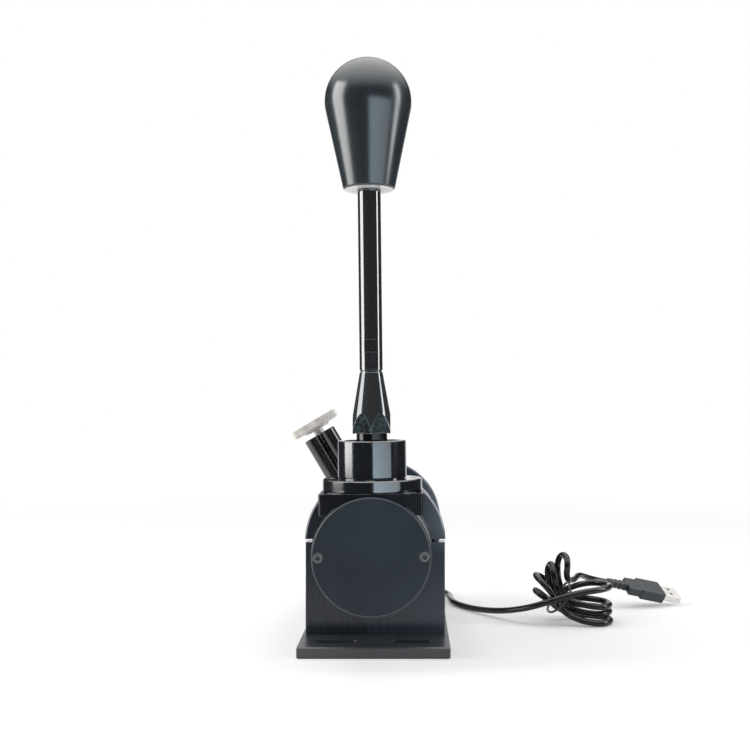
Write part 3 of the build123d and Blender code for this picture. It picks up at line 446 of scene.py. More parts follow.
def turnedMetal(name, colour, roughness, centre, axis, ior, depth):
    look = turning
    material, tree, base = newFinish(name, ior=ior)
    wearGlint = wearGlintEdges(tree, look["edge"], look["edgeRadius"])
    marks = roughen(tree, "marks", look["markScale"], depth, wearGlint["Normal"], Centre=centre, Axis=axis)
    darker, lighter = look["shades"]
    shade = cloudy(tree, marks["Value"], shaded(colour, darker), shaded(colour, lighter))
    # lighter edges: wear and a painted edge highlight
    shade = between(tree, wearGlint["Mask"], shade, look["edgeColour"])
    low, high = look["gloss"]
    cloud = mottle(tree, look["cloudScale"])
    feed(tree, base, shade, spread(tree, cloud, roughness + low, roughness + high), marks["Normal"])
    return material


knobLook = {
    "ior": 1.68, "shades": ((0.013, 0.018, 0.022), (0.018, 0.025, 0.030)), "roughness": (0.20, 0.27),
    "underside": (0.62, 0.62, 0.61), "undersideFrom": 0.9,
    "cloudScale": 35.0, "grainScale": 1800.0, "grainDepth": 0.06, "edge": 0.25,
}


def knobFinish(look):
    # satin black ball and cone over a light grey underside
    material, tree, base = newFinish("knobFinish", ior=look["ior"])
    wearGlint = wearGlintEdges(tree, look["edge"])
    grain = roughen(tree, "grain", look["grainScale"], look["grainDepth"], wearGlint["Normal"])
    cloud = mottle(tree, look["cloudScale"])
    flat = addNode(tree, "ShaderNodeNewGeometry").outputs["Normal"]
    down = addVector(tree, "DOT_PRODUCT", flat, tuple(-c for c in leverAxis))
    under = addMath(tree, "GREATER_THAN", down, look["undersideFrom"])
    shade = between(tree, under, cloudy(tree, cloud, *look["shades"]), look["underside"])
    feed(tree, base, shade, spread(tree, cloud, *look["roughness"]), grain["Normal"])
    return material


crownLook = {
    "ior": 1.40, "cone": (0.114, 0.121, 0.126), "coneMetallic": 0.8, "coneRoughness": 0.09,
    "flats": ((0.001, 0.002, 0.003), (0.018, 0.033, 0.040)), "flatLean": 0.05, "flatRoughness": 0.17,
    "edge": 4.0, "edgeRadius": 0.00030, "edgeColour": (0.46, 0.52, 0.54),
    "fleckScale": 420.0, "fleckContrast": 2.2,
    "scuffScale": 1300.0, "scuffDepth": 0.35, "smoothScale": 1500.0, "smoothDepth": 0.05,
}


def crownFinish(look):
    # polished cone, milled flats
    material, tree, base = newFinish("crownFinish", ior=look["ior"])
    wearGlint = wearGlintEdges(tree, look["edge"], look["edgeRadius"])
    flat = addNode(tree, "ShaderNodeNewGeometry").outputs["True Normal"]
    lean = addMath(tree, "ABSOLUTE", addVector(tree, "DOT_PRODUCT", flat, leverAxis))
    milled = addMath(tree, "LESS_THAN", lean, look["flatLean"])
    flecks = mottle(tree, look["fleckScale"], look["fleckContrast"])
    scuffs = roughen(tree, "grain", look["scuffScale"], look["scuffDepth"], wearGlint["Normal"])
    smooth = roughen(tree, "grain", look["smoothScale"], look["smoothDepth"], wearGlint["Normal"])
    shade = between(tree, milled, look["cone"], cloudy(tree, flecks, *look["flats"]))
    # lighter edges: wear and a painted edge highlight
    shade = between(tree, wearGlint["Mask"], shade, look["edgeColour"])
    gloss = blend(tree, milled, look["coneRoughness"], look["flatRoughness"])
    feed(tree, base, shade, gloss, between(tree, milled, smooth["Normal"], scuffs["Normal"]))
    turned = addMath(tree, "SUBTRACT", 1.0, milled)
    tree.links.new(times(tree, turned, look["coneMetallic"]), base.inputs["Metallic"])
    return material


# the lighter, bluer right side and the lighter arcs at its top right are painted light in the base colour, a
# painted reflection of the side light and a painted highlight on the cutter arcs, so they stay when the lamps
# change
clampLook = {
    "ior": 1.42, "shades": ((0.010, 0.012, 0.016), (0.015, 0.018, 0.024)), "roughness": (0.12, 0.19),
    "cloudScale": 40.0, "edge": 0.7, "edgeColour": (0.22, 0.23, 0.26),
    "sweepCentre": (0.020, 0, 0.062), "sweepScale": 330.0, "sweepWander": 1.6, "sweepDetail": 3.0,
    "sweepDetailScale": 5.0, "sweepDepth": 0.07, "sweepHigh": 0.00005,
    "lineStretch": (1, 1, 0.06), "lineScale": 900.0, "lineDepth": 0.1, "lineColour": (0.036, 0.046, 0.066),
    "lineShare": 0.45, "right": (0.032, 0.044, 0.064), "sideLightFrom": -0.01, "sideLightTo": 0.045,
    "archGlint": (0.22, 0.25, 0.29), "archX": (0.022, 0.044), "archZ": (0.050, 0.066), "archShare": (0.45, 1.0),
}


def clampFinish(look):
    # face-milled front with sweeping cutter arcs, lightly brushed down the legs, with painted light on its
    # right side and top right
    material, tree, base = newFinish("clampFinish", ior=look["ior"])
    wearGlint = wearGlintEdges(tree, look["edge"])
    place = objectPlace(tree)
    split = apart(tree, place)
    across, high = split[0], split[2]
    offset = tuple(-c for c in look["sweepCentre"])
    moved = addNode(tree, "ShaderNodeMapping", {"Vector": place, "Location": offset}).outputs[0]
    links = {"Vector": moved, "Scale": look["sweepScale"], "Distortion": look["sweepWander"],
             "Detail": look["sweepDetail"], "Detail Scale": look["sweepDetailScale"]}
    sweep = addNode(tree, "ShaderNodeTexWave", links, wave_type="RINGS", rings_direction="Y").outputs["Fac"]
    lines = roughen(tree, "brush", look["lineScale"], look["lineDepth"], wearGlint["Normal"],
                    Stretch=look["lineStretch"])
    links = {"Height": sweep, "Strength": look["sweepDepth"], "Distance": look["sweepHigh"],
             "Normal": lines["Normal"]}
    arcs = addNode(tree, "ShaderNodeBump", links).outputs[0]
    shade = cloudy(tree, mottle(tree, look["cloudScale"]), *look["shades"])
    # painted reflection of the side light: the right side turns lighter and bluer
    shade = between(tree, ramp(tree, across, look["sideLightFrom"], look["sideLightTo"]), shade, look["right"])
    shade = between(tree, spread(tree, lines["Value"], 0.0, look["lineShare"]), shade, look["lineColour"])
    # painted highlight: lighter cutter arcs at the top right
    archGlint = times(tree, ramp(tree, across, *look["archX"]), ramp(tree, high, *look["archZ"]))
    shade = between(tree, times(tree, archGlint, spread(tree, sweep, *look["archShare"])), shade, look["archGlint"])
    # lighter edges: wear and a painted edge highlight
    shade = between(tree, wearGlint["Mask"], shade, look["edgeColour"])
    feed(tree, base, shade, ramp(tree, sweep, 0.0, 1.0, *look["roughness"]), arcs)
    return material


baring = {"edge": 1.2, "edgeRadius": 0.00016, "lineScale": 1800.0, "cloudScale": 150.0, "darker": 0.86,
          "dull": 0.6, "dullShare": 0.25, "gloss": (-0.05, 0.08)}


def bareMetal(name, colour, roughness, depth=0.15, metallic=1.0, edgeColour=None):
    look = baring
    material, tree, base = newFinish(name, metallic)
    wearGlint = wearGlintEdges(tree, look["edge"], look["edgeRadius"])
    lines = roughen(tree, "brush", look["lineScale"], depth, wearGlint["Normal"])
    cloud = mottle(tree, look["cloudScale"])
    shade = cloudy(tree, lines["Value"], shaded(colour, look["darker"]), colour)
    shade = between(tree, spread(tree, cloud, 0.0, look["dullShare"]), shade, shaded(colour, look["dull"]))
    # lighter edges where edgeColour is given: wear and a painted edge highlight
    if edgeColour:
        shade = between(tree, wearGlint["Mask"], shade, edgeColour)
    low, high = look["gloss"]
    feed(tree, base, shade, spread(tree, cloud, roughness + low, roughness + high), lines["Normal"])
    return material


plating = {"metallic": 0.15, "edge": 0.5, "edgeRadius": 0.00012, "edgeColour": (0.80, 0.78, 0.74),
           "grainScale": 2600.0, "grainDepth": 0.06, "cloudScale": 260.0, "gloss": (-0.04, 0.06)}


def satinNickel(name, dull, bright, roughness=0.34):
    # dull plated nickel that looks light from every side
    look = plating
    material, tree, base = newFinish(name, look["metallic"])
    wearGlint = wearGlintEdges(tree, look["edge"], look["edgeRadius"])
    grain = roughen(tree, "grain", look["grainScale"], look["grainDepth"], wearGlint["Normal"])
    cloud = mottle(tree, look["cloudScale"])
    # lighter edges: wear and a painted edge highlight
    shade = between(tree, wearGlint["Mask"], cloudy(tree, cloud, dull, bright), look["edgeColour"])
    low, high = look["gloss"]
    feed(tree, base, shade, spread(tree, cloud, roughness + low, roughness + high), grain["Normal"])
    return material


moulding = {"coatRoughness": 0.09, "grainScale": 2400.0, "cloudScale": 120.0, "shades": (0.85, 1.12),
            "edgeShade": 2.2, "edgeLift": 0.02, "gloss": (-0.05, 0.06)}


def mouldedPlastic(name, colour, roughness, grainDepth=0.2, ior=1.5, edge=0.3, coat=0.0):
    look = moulding
    material, tree, base = newFinish(name, 0.0, ior, coat, look["coatRoughness"])
    wearGlint = wearGlintEdges(tree, edge)
    grain = roughen(tree, "grain", look["grainScale"], grainDepth, wearGlint["Normal"])
    cloud = mottle(tree, look["cloudScale"])
    darker, lighter = look["shades"]
    shade = cloudy(tree, cloud, shaded(colour, darker), shaded(colour, lighter))
    # lighter edges: wear and a painted edge highlight
    shade = between(tree, wearGlint["Mask"], shade, shaded(colour, look["edgeShade"], look["edgeLift"]))
    low, high = look["gloss"]
    feed(tree, base, shade, spread(tree, cloud, roughness + low, roughness + high), grain["Normal"])
    return material


boardLook = {
    "coat": 0.3, "lacquer": ((0.010, 0.075, 0.030), (0.016, 0.105, 0.045)), "roughness": (0.28, 0.4),
    "tracks": (0.03, 0.16, 0.07), "trackScale": 420.0, "trackGap": 0.06,
    "cloudScale": 300.0, "grainScale": 2000.0, "grainDepth": 0.1,
}


def boardFinish(look):
    # green lacquer over copper tracks
    material, tree, base = newFinish("boardFinish", coat=look["coat"])
    links = {"Vector": objectPlace(tree), "Scale": look["trackScale"], "Mortar Size": look["trackGap"]}
    tracks = addNode(tree, "ShaderNodeTexBrick", links, offset=0.5).outputs["Fac"]
    fine = mottle(tree, look["cloudScale"])
    shade = between(tree, tracks, look["tracks"], cloudy(tree, fine, *look["lacquer"]))
    grain = useGroup(tree, "grain", {"Scale": look["grainScale"], "Depth": look["grainDepth"]}).outputs
    feed(tree, base, shade, spread(tree, fine, *look["roughness"]), grain["Normal"])
    return material


finishes = {
    "cover": anodised("coverFinish", (0.017, 0.025, 0.033), 0.40, 1.36, 0.3, edge=1.4,
                      edgeColour=(0.36, 0.38, 0.40), upGlintShare=0.1),
    "block": anodised("blockFinish", (0.006, 0.0068, 0.0105), 0.20, 1.40, 0.1, edge=1.2,
                      edgeColour=(0.50, 0.52, 0.56), brush=(0.05, 1, 1), brushDepth=0.12),
    "plate": anodised("plateFinish", (0.018, 0.020, 0.024), 0.36, 1.75, 0.35, edge=0.8, brush=(0.06, 1, 1)),
    "clamp": clampFinish(clampLook),
    "collar": turnedMetal("collarFinish", (0.006, 0.008, 0.011), 0.11, leverCentre, leverAxis, 2.0, 0.10),
    "flange": turnedMetal("flangeFinish", (0.006, 0.008, 0.011), 0.12, leverCentre, leverAxis, 2.0, 0.10),
    "drum": turnedMetal("drumFinish", (0.012, 0.014, 0.018), 0.28, drumCentre, drumAxis, 1.9, 0.15),
    "cap": turnedMetal("capFinish", (0.016, 0.019, 0.024), 0.36, drumCentre, drumAxis, 1.7, 0.25),
    "tube": turnedMetal("tubeFinish", (0.008, 0.009, 0.011), 0.12, tubeCentre, tubeAxis, 1.8, 0.01),
    "knob": knobFinish(knobLook),
    "crown": crownFinish(crownLook),
    "rod": turnedMetal("rodFinish", (0.016, 0.017, 0.019), 0.06, leverCentre, leverAxis, 2.1, 0.01),
    "post": turnedMetal("postFinish", (0.005, 0.006, 0.007), 0.14, leverCentre, leverAxis, 1.45, 0.02),
    "blackScrew": bareMetal("blackScrewFinish", (0.13, 0.14, 0.15), 0.36, 0.1, 0.25, (0.50, 0.51, 0.53)),
    "steel": bareMetal("steelFinish", (0.62, 0.62, 0.63), 0.20),
    "aluminium": bareMetal("aluminiumFinish", (0.72, 0.72, 0.73), 0.35, 0.3),
    "nickel": satinNickel("nickelFinish", (0.63, 0.605, 0.57), (0.70, 0.675, 0.635)),
    "shell": satinNickel("plugMetalFinish", (0.74, 0.715, 0.68), (0.77, 0.745, 0.71), 0.28),
    "magnet": bareMetal("magnetFinish", (0.45, 0.45, 0.46), 0.3),
    "insert": satinNickel("insertFinish", (0.62, 0.62, 0.61), (0.68, 0.68, 0.67)),
    "brass": bareMetal("brassFinish", (0.72, 0.50, 0.22), 0.3),
    "rubber": mouldedPlastic("rubberFinish", (0.018, 0.018, 0.019), 0.62, 0.4),
    "jacket": mouldedPlastic("jacketFinish", (0.007, 0.007, 0.008), 0.25, 0.03, ior=1.2, edge=0.0, coat=0.6),
    "plastic": mouldedPlastic("plugPlasticFinish", (0.026, 0.030, 0.034), 0.42, 0.35),
    "tonguePlastic": mouldedPlastic("tonguePlasticFinish", (0.012, 0.012, 0.013), 0.4, edge=0.0),
    "board": boardFinish(boardLook),
}
print("finishes made:", len(finishes))

nodeFinishes = {
    "plate": ["base_plate"],
    "clamp": ["front_clamp_base", "front_clamp_cap", "rear_clamp_base", "rear_clamp_cap"],
    "cover": ["front_cover"],
    "block": ["lever_block", "tension_block", "tension_bridge"],
    "collar": ["guide_collar"],
    "flange": ["guide_flange"],
    "drum": ["drum_shell"],
    "cap": ["rear_cap"],
    "tube": ["tension_tube_left", "tension_tube_right"],
    "knob": ["lever_knob"],
    "crown": ["lever_crown"],
    "rod": ["lever_rod"],
    "post": ["lever_post"],
    "blackScrew": ["base_screws", "clamp_screws", "cover_screws", "block_screws", "flange_screws",
                   "cap_screws", "hub_screws"],
    "steel": ["bearing_outer_rings", "bearing_inner_rings", "bearing_balls", "pivot_shaft", "shaft_rings",
              "plunger_left", "plunger_right", "spring_left", "spring_right", "spring_seats", "detent_cam"],
    "aluminium": ["front_bearing_plate", "rear_bearing_plate", "shaft_spacers", "lever_hub"],
    "nickel": ["thumb_wheel", "tension_stud", "stud_rings"],
    "shell": ["plug_shell"],
    "magnet": ["shaft_magnet"],
    "insert": ["knob_insert"],
    "brass": ["board_spacers"],
    "rubber": ["bump_ring"],
    "jacket": ["board_lead", "cord", "cord_hank", "cord_lead"],
    "plastic": ["cord_gland", "plug_relief", "plug_housing", "sensor_chip", "hank_tie"],
    "tonguePlastic": ["plug_tongue"],
    "board": ["sensor_board"],
}


def dressNode(name, material):
    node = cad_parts[name]
    if not node.material_slots:
        node.data.materials.append(material)
    for place in node.material_slots:
        place.material = material


for finish, names in nodeFinishes.items():
    for name in names:
        dressNode(name, finishes[finish])
print("solid nodes dressed:", sum(len(names) for names in nodeFinishes.values()))

# What the screws and the knurled rim share: trees of geometry nodes, grown and joined to plain meshes


def newTree(name, sizes):
    tree = bpy.data.node_groups.new(name, "GeometryNodeTree")
    tree.interface.new_socket("Geometry", in_out="INPUT", socket_type="NodeSocketGeometry")
    for label, value in sizes.items():
        kind = "NodeSocketInt" if isinstance(value, int) else "NodeSocketFloat"
        tree.interface.new_socket(label, in_out="INPUT", socket_type=kind).default_value = value
    tree.interface.new_socket("Finish", in_out="INPUT", socket_type="NodeSocketMaterial")
    tree.interface.new_socket("Geometry", in_out="OUTPUT", socket_type="NodeSocketGeometry")
    return tree, tree.nodes.new("NodeGroupInput").outputs, tree.nodes.new("NodeGroupOutput").inputs


def finishTree(tree, given, out, geometry):
    solid = addNode(tree, "GeometryNodeRealizeInstances", {0: geometry}).outputs[0]
    dressed = addNode(tree, "GeometryNodeSetMaterial", {"Geometry": solid, "Material": given["Finish"]})
    tree.links.new(dressed.outputs[0], out[0])
    return tree


def onZ(tree, value):
    return addNode(tree, "ShaderNodeCombineXYZ", {2: value}).outputs[0]


def lifted(tree, geometry, height):
    links = {"Geometry": geometry, "Translation": onZ(tree, height)}
    return addNode(tree, "GeometryNodeTransform", links).outputs[0]


def cylinder(tree, radius, height, middle, sides):
    # stands on the Z axis, with its centre at the height middle
    links = {"Vertices": sides, "Radius": radius, "Depth": height}
    return lifted(tree, addNode(tree, "GeometryNodeMeshCylinder", links).outputs["Mesh"], middle)


def cone(tree, radius, topRadius, height, middle, sides):
    links = {"Vertices": sides, "Radius Top": topRadius, "Radius Bottom": radius, "Depth": height}
    node = addNode(tree, "GeometryNodeMeshCone", links)
    return lifted(tree, node.outputs["Mesh"], addMath(tree, "SUBTRACT", middle, times(tree, height, 0.5)))


def cut(tree, body, *tools):
    for tool in tools:
        links = {"Mesh 1": body, "Mesh 2": tool}
        body = addNode(tree, "GeometryNodeMeshBoolean", links, operation="DIFFERENCE").outputs["Mesh"]
    return body


def standOnPoints(tree, given, parts):
    whole = tree.nodes.new("GeometryNodeJoinGeometry")
    for part in parts:
        tree.links.new(part, whole.inputs[0])
    turn = addNode(tree, "GeometryNodeInputNamedAttribute", {"Name": "turn"}, data_type="FLOAT_VECTOR")
    spin = addNode(tree, "FunctionNodeEulerToRotation", {0: turn.outputs[0]}).outputs[0]
    links = {"Points": given["Geometry"], "Instance": whole.outputs[0], "Rotation": spin}
    return addNode(tree, "GeometryNodeInstanceOnPoints", links).outputs[0]


def growPieces(name, tree, points, sizes, material):
    # runs a tree on points, each with a place and a turn, and keeps the result as a plain mesh
    mesh = bpy.data.meshes.new(name + "Points")
    mesh.from_pydata([place for place, turn in points], [], [])
    turns = mesh.attributes.new("turn", "FLOAT_VECTOR", "POINT")
    for index, (place, turn) in enumerate(points):
        turns.data[index].vector = turn
    holder = bpy.data.objects.new(name + "Points", mesh)
    bpy.context.collection.objects.link(holder)
    grow = holder.modifiers.new("grow", "NODES")
    grow.node_group = tree
    values = {**sizes, "Finish": material}
    for socket in tree.interface.items_tree:
        if socket.in_out == "INPUT" and socket.name in values:
            grow[socket.identifier] = values[socket.name]
    bpy.context.view_layer.update()
    grown = bpy.data.meshes.new_from_object(holder.evaluated_get(bpy.context.evaluated_depsgraph_get()))
    bpy.data.objects.remove(holder)
    return grown


smoothUnder = 32  # degrees between two faces


def joinMeshes(name, meshes, material):
    whole = bmesh.new()
    for mesh in meshes:
        whole.from_mesh(mesh)
    bmesh.ops.recalc_face_normals(whole, faces=whole.faces)
    for edge in whole.edges:
        edge.smooth = len(edge.link_faces) == 2 and edge.calc_face_angle(0) < math.radians(smoothUnder)
    for face in whole.faces:
        face.smooth = True
        face.material_index = 0
    mesh = bpy.data.meshes.new(name)
    whole.to_mesh(mesh)
    whole.free()
    for layer in [a.name for a in mesh.attributes if a.name in ("turn", "UVMap", "uv_map")]:
        mesh.attributes.remove(mesh.attributes[layer])
    mesh.materials.clear()
    mesh.materials.append(material)
    piece = bpy.data.objects.new(name, mesh)
    bpy.context.collection.objects.link(piece)
    return piece


# Screws: places and sizes in mm, in the base's frame or the drum's

screws = {
    "clamp": {"x": 33.0, "y": 55.0, "z": 65.8, "shank": 2.0, "length": 22.95},
    "base": {"x": 24.0, "y": 55.0, "z": 0.0, "shank": 2.5, "length": 20.0},
    "cover": {"radius": 26.3, "y": -118.7, "shank": 1.5, "length": 8.7},
    "block": {"x": 18.5, "y": 19.0, "z": 30.9, "shank": 2.0, "length": 14.0},
    "flange": {"radius": 21.6, "z": 37.0, "shank": 1.5, "length": 11.1},
    "cap": {"radius": 25.9, "y": 71.0, "shank": 1.5, "length": 13.0},
}
# Heads: shares of the shank's radius, but keyMiddle of the head's height, lineHigh and lineMiddle of its
# side's, and top of its width; widthMore and lineWide are in mm
capHead = {
    "width": 1.75, "widthMore": 0.1, "height": 2.0, "bevel": 0.16, "key": 0.97, "keyMiddle": 0.92,
    "mouth": (0.8, 1.3), "mouthDeep": 0.5, "lines": 28, "lineHigh": 0.8, "lineMiddle": 0.55, "lineWide": 0.05,
    "sides": 56,
}
flatHead = {
    "width": 1.9, "top": 0.985, "sink": 0.9, "key": 0.8, "keyHigh": 1.6,
    "mouth": (0.7, 1.05), "mouthDeep": 0.4, "sides": 48,
}
screwSides = {"key": 6, "mouth": 32, "stem": 24}


def capScrewTree(look):
    # socket head standing on z = 0 with a bevelled top edge and a ring of grip lines
    tree, given, out = newTree("capScrew", {"Shank": 0.0015, "Length": 0.009, "Lines": look["lines"]})
    shank, length = given["Shank"], given["Length"]
    headR = addNode(tree, "ShaderNodeMath", {0: shank, 1: look["width"], 2: look["widthMore"] * mm},
                    operation="MULTIPLY_ADD").outputs[0]
    high = times(tree, shank, look["height"])
    bevel = times(tree, shank, look["bevel"])
    sideHigh = addMath(tree, "SUBTRACT", high, bevel)
    side = cylinder(tree, headR, sideHigh, times(tree, sideHigh, 0.5), look["sides"])
    bevelMiddle = addMath(tree, "SUBTRACT", high, times(tree, bevel, 0.5))
    top = cone(tree, headR, addMath(tree, "SUBTRACT", headR, bevel), bevel, bevelMiddle, look["sides"])
    keyR, keyMiddle = times(tree, shank, look["key"]), times(tree, high, look["keyMiddle"])
    key = cylinder(tree, keyR, high, keyMiddle, screwSides["key"])
    narrow, wide = (times(tree, shank, share) for share in look["mouth"])
    mouth = cone(tree, narrow, wide, times(tree, shank, look["mouthDeep"]), high, screwSides["mouth"])
    stem = cylinder(tree, shank, length, times(tree, length, -0.5), screwSides["stem"])
    ring = addNode(tree, "GeometryNodeMeshCircle", {"Vertices": given["Lines"], "Radius": headR}).outputs[0]
    ring = lifted(tree, ring, times(tree, sideHigh, look["lineMiddle"]))
    ridge = cylinder(tree, look["lineWide"] * mm, times(tree, sideHigh, look["lineHigh"]), 0.0, 4)
    ridges = addNode(tree, "GeometryNodeInstanceOnPoints", {"Points": ring, "Instance": ridge}).outputs[0]
    parts = [cut(tree, side, key, mouth), cut(tree, top, key, mouth), stem, ridges]
    return finishTree(tree, given, out, standOnPoints(tree, given, parts))


def flatScrewTree(look):
    # countersunk head with its top at z = 0
    tree, given, out = newTree("flatScrew", {"Shank": 0.002, "Length": 0.014})
    shank, length = given["Shank"], given["Length"]
    sink = times(tree, shank, look["sink"])
    headR = times(tree, times(tree, shank, look["width"]), look["top"])
    head = cone(tree, shank, headR, sink, times(tree, sink, -0.5), look["sides"])
    keyR, keyHigh = times(tree, shank, look["key"]), times(tree, shank, look["keyHigh"])
    key = cylinder(tree, keyR, keyHigh, 0.0, screwSides["key"])
    narrow, wide = (times(tree, shank, share) for share in look["mouth"])
    mouth = cone(tree, narrow, wide, times(tree, shank, look["mouthDeep"]), 0.0, screwSides["mouth"])
    stemMiddle = times(tree, addMath(tree, "ADD", length, sink), -0.5)
    stem = cylinder(tree, shank, addMath(tree, "SUBTRACT", length, sink), stemMiddle, screwSides["stem"])
    return finishTree(tree, given, out, standOnPoints(tree, given, [cut(tree, head, key, mouth), stem]))


def fourCorners(look, middleY=0.0):
    return [(x * look["x"], middleY + y * look["y"], look["z"]) for y in (-1, 1) for x in (-1, 1)]


def screwPlaces():
    # where the screws of each kind stand, and which way their tops face
    cover, flange, cap = screws["cover"], screws["flange"], screws["cap"]
    sides = [(x * cover["radius"], cover["y"], 0) for x in (-1, 1)]
    cross = [(flange["radius"] * x, layout["leverY"] + flange["radius"] * y, flange["z"])
             for x, y in ((0, 1), (1, 0), (0, -1), (-1, 0))]
    turns = [k * math.tau / 3 for k in range(3)]
    thirds = [(cap["radius"] * math.sin(turn), cap["y"], cap["radius"] * math.cos(turn)) for turn in turns]
    return {
        "clamp": (fourCorners(screws["clamp"]), (0, 0, 1)), "base": (fourCorners(screws["base"]), (0, 0, -1)),
        "cover": (sides, (0, -1, 0)), "block": (fourCorners(screws["block"], layout["leverY"]), (0, 0, 1)),
        "flange": (cross, (0, 0, 1)), "cap": (thirds, (0, 1, 0)),
    }


def growScrews(name, body, frameMatrix, trees):
    meshes = []
    for kind, tree in trees.items():
        places, facing = screwPlaces()[kind]
        turn = tuple((frameMatrix.to_3x3() @ Vector(facing)).to_track_quat("Z", "X").to_euler())
        points = [(tuple(frameMatrix @ Vector([c * mm for c in place])), turn) for place in places]
        sizes = {"Shank": screws[kind]["shank"] * mm, "Length": screws[kind]["length"] * mm}
        meshes.append(growPieces(name + kind, tree, points, sizes, finishes["blackScrew"]))
    piece = joinMeshes(name, meshes, finishes["blackScrew"])
    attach(piece, body)
    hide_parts(*[kind + "_screws" for kind in trees])


capScrew, flatScrew = capScrewTree(capHead), flatScrewTree(flatHead)
growScrews("baseScrewSet", "base", Matrix.Identity(4), {"clamp": capScrew, "base": flatScrew})
growScrews("drumScrewSet", "drum", drumFrame,
           {"cover": capScrew, "block": flatScrew, "flange": flatScrew, "cap": flatScrew})
print("screws grown")

# Knurled wheel, in mm; its grip lines stand out from the radius by the depth of a tooth
wheel = {
    "radius": 14.5, "low": 71.2, "thick": 4.9, "edge": 0.5, "studY": 7.6, "boreR": 3.0,
    "teeth": 84, "toothDepth": 0.20, "lobes": 12, "lobeDepth": 0.5,
    "hubR": 7.9, "hubLow": 70.0, "hubEdge": 0.25, "dishR": 9.5, "dishDepth": 0.4, "dishEdge": 0.4,
}


def rimTree(sizes):
    # straight grip lines round a rim that has soft lobes
    tree, given, out = newTree("knurledRim", sizes)
    links = {"Vertices": given["Teeth"], "Radius": given["Radius"]}
    ring = addNode(tree, "GeometryNodeMeshCircle", links).outputs[0]
    index = addNode(tree, "GeometryNodeInputIndex").outputs[0]
    turn = addMath(tree, "DIVIDE", times(tree, index, math.tau), given["Teeth"])
    wave = addMath(tree, "COSINE", times(tree, turn, given["Lobes"]))
    inward = times(tree, addMath(tree, "SUBTRACT", 1.0, wave), times(tree, given["Lobe"], -0.5))
    reach = addMath(tree, "SUBTRACT", addMath(tree, "ADD", given["Radius"], inward), given["Tooth"])
    x = times(tree, addMath(tree, "COSINE", turn), reach)
    y = times(tree, addMath(tree, "SINE", turn), reach)
    place = addNode(tree, "ShaderNodeCombineXYZ", {0: x, 1: y}).outputs[0]
    ring = addNode(tree, "GeometryNodeSetPosition", {"Geometry": ring, "Position": place}).outputs[0]
    ridge = cylinder(tree, times(tree, given["Tooth"], 2.0), given["Height"], 0.0, 4)
    spin = addNode(tree, "FunctionNodeEulerToRotation", {0: onZ(tree, turn)}).outputs[0]
    links = {"Points": ring, "Instance": ridge, "Rotation": spin}
    return finishTree(tree, given, out, addNode(tree, "GeometryNodeInstanceOnPoints", links).outputs[0])


def wheelOutline(look):
    # radius, height, how much of the lobes shows
    low, high = look["low"], look["low"] + look["thick"]
    rim = look["radius"] - look["toothDepth"]
    dish = high - look["dishDepth"]
    return [
        (look["boreR"], look["hubLow"], 0), (look["hubR"] - look["hubEdge"], look["hubLow"], 0),
        (look["hubR"], look["hubLow"] + look["hubEdge"], 0), (look["hubR"], low, 0),
        (rim - look["edge"], low, 1), (rim, low + look["edge"], 1),
        (rim, high - look["edge"], 1), (rim - look["edge"], high, 1),
        (look["dishR"] + look["dishEdge"], high, 0), (look["dishR"], dish, 0), (look["boreR"], dish, 0),
    ]


def wheelBody(look):
    shape = bmesh.new()
    steps = look["teeth"] * 2
    rings = []
    for radius, height, lobed in wheelOutline(look):
        ring = []
        for k in range(steps):
            turn = math.tau * k / steps
            reach = radius - lobed * look["lobeDepth"] * (1 - math.cos(turn * look["lobes"])) / 2
            place = (reach * math.cos(turn) * mm, reach * math.sin(turn) * mm, height * mm)
            ring.append(shape.verts.new(place))
        rings.append(ring)
    for low, up in zip(rings, rings[1:] + rings[:1]):
        for k in range(steps):
            shape.faces.new((low[k], low[(k + 1) % steps], up[(k + 1) % steps], up[k]))
    body = bpy.data.meshes.new("wheelBody")
    shape.to_mesh(body)
    shape.free()
    return body


def makeWheel(look):
    sizes = {"Radius": look["radius"] * mm, "Height": (look["thick"] - 2 * look["edge"]) * mm,
             "Teeth": look["teeth"], "Tooth": look["toothDepth"] * mm, "Lobes": look["lobes"],
             "Lobe": look["lobeDepth"] * mm}
    centre = [((0, 0, 0), (0, 0, 0))]
    ridges = growPieces("wheelRidges", rimTree(sizes), centre, sizes, finishes["nickel"])
    ridges.transform(move(0, 0, look["low"] + look["thick"] / 2))
    piece = joinMeshes("knurledWheel", [wheelBody(look), ridges], finishes["nickel"])
    piece.data.transform(tubeFrame @ move(0, look["studY"], 0))
    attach(piece, "wheel")
    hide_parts("thumb_wheel")


makeWheel(wheel)
print("knurled wheel made")

# Cord: leaves the gland at the back, falls to the table, runs forward and is tied in a loose hank.
# Lengths are in metres.

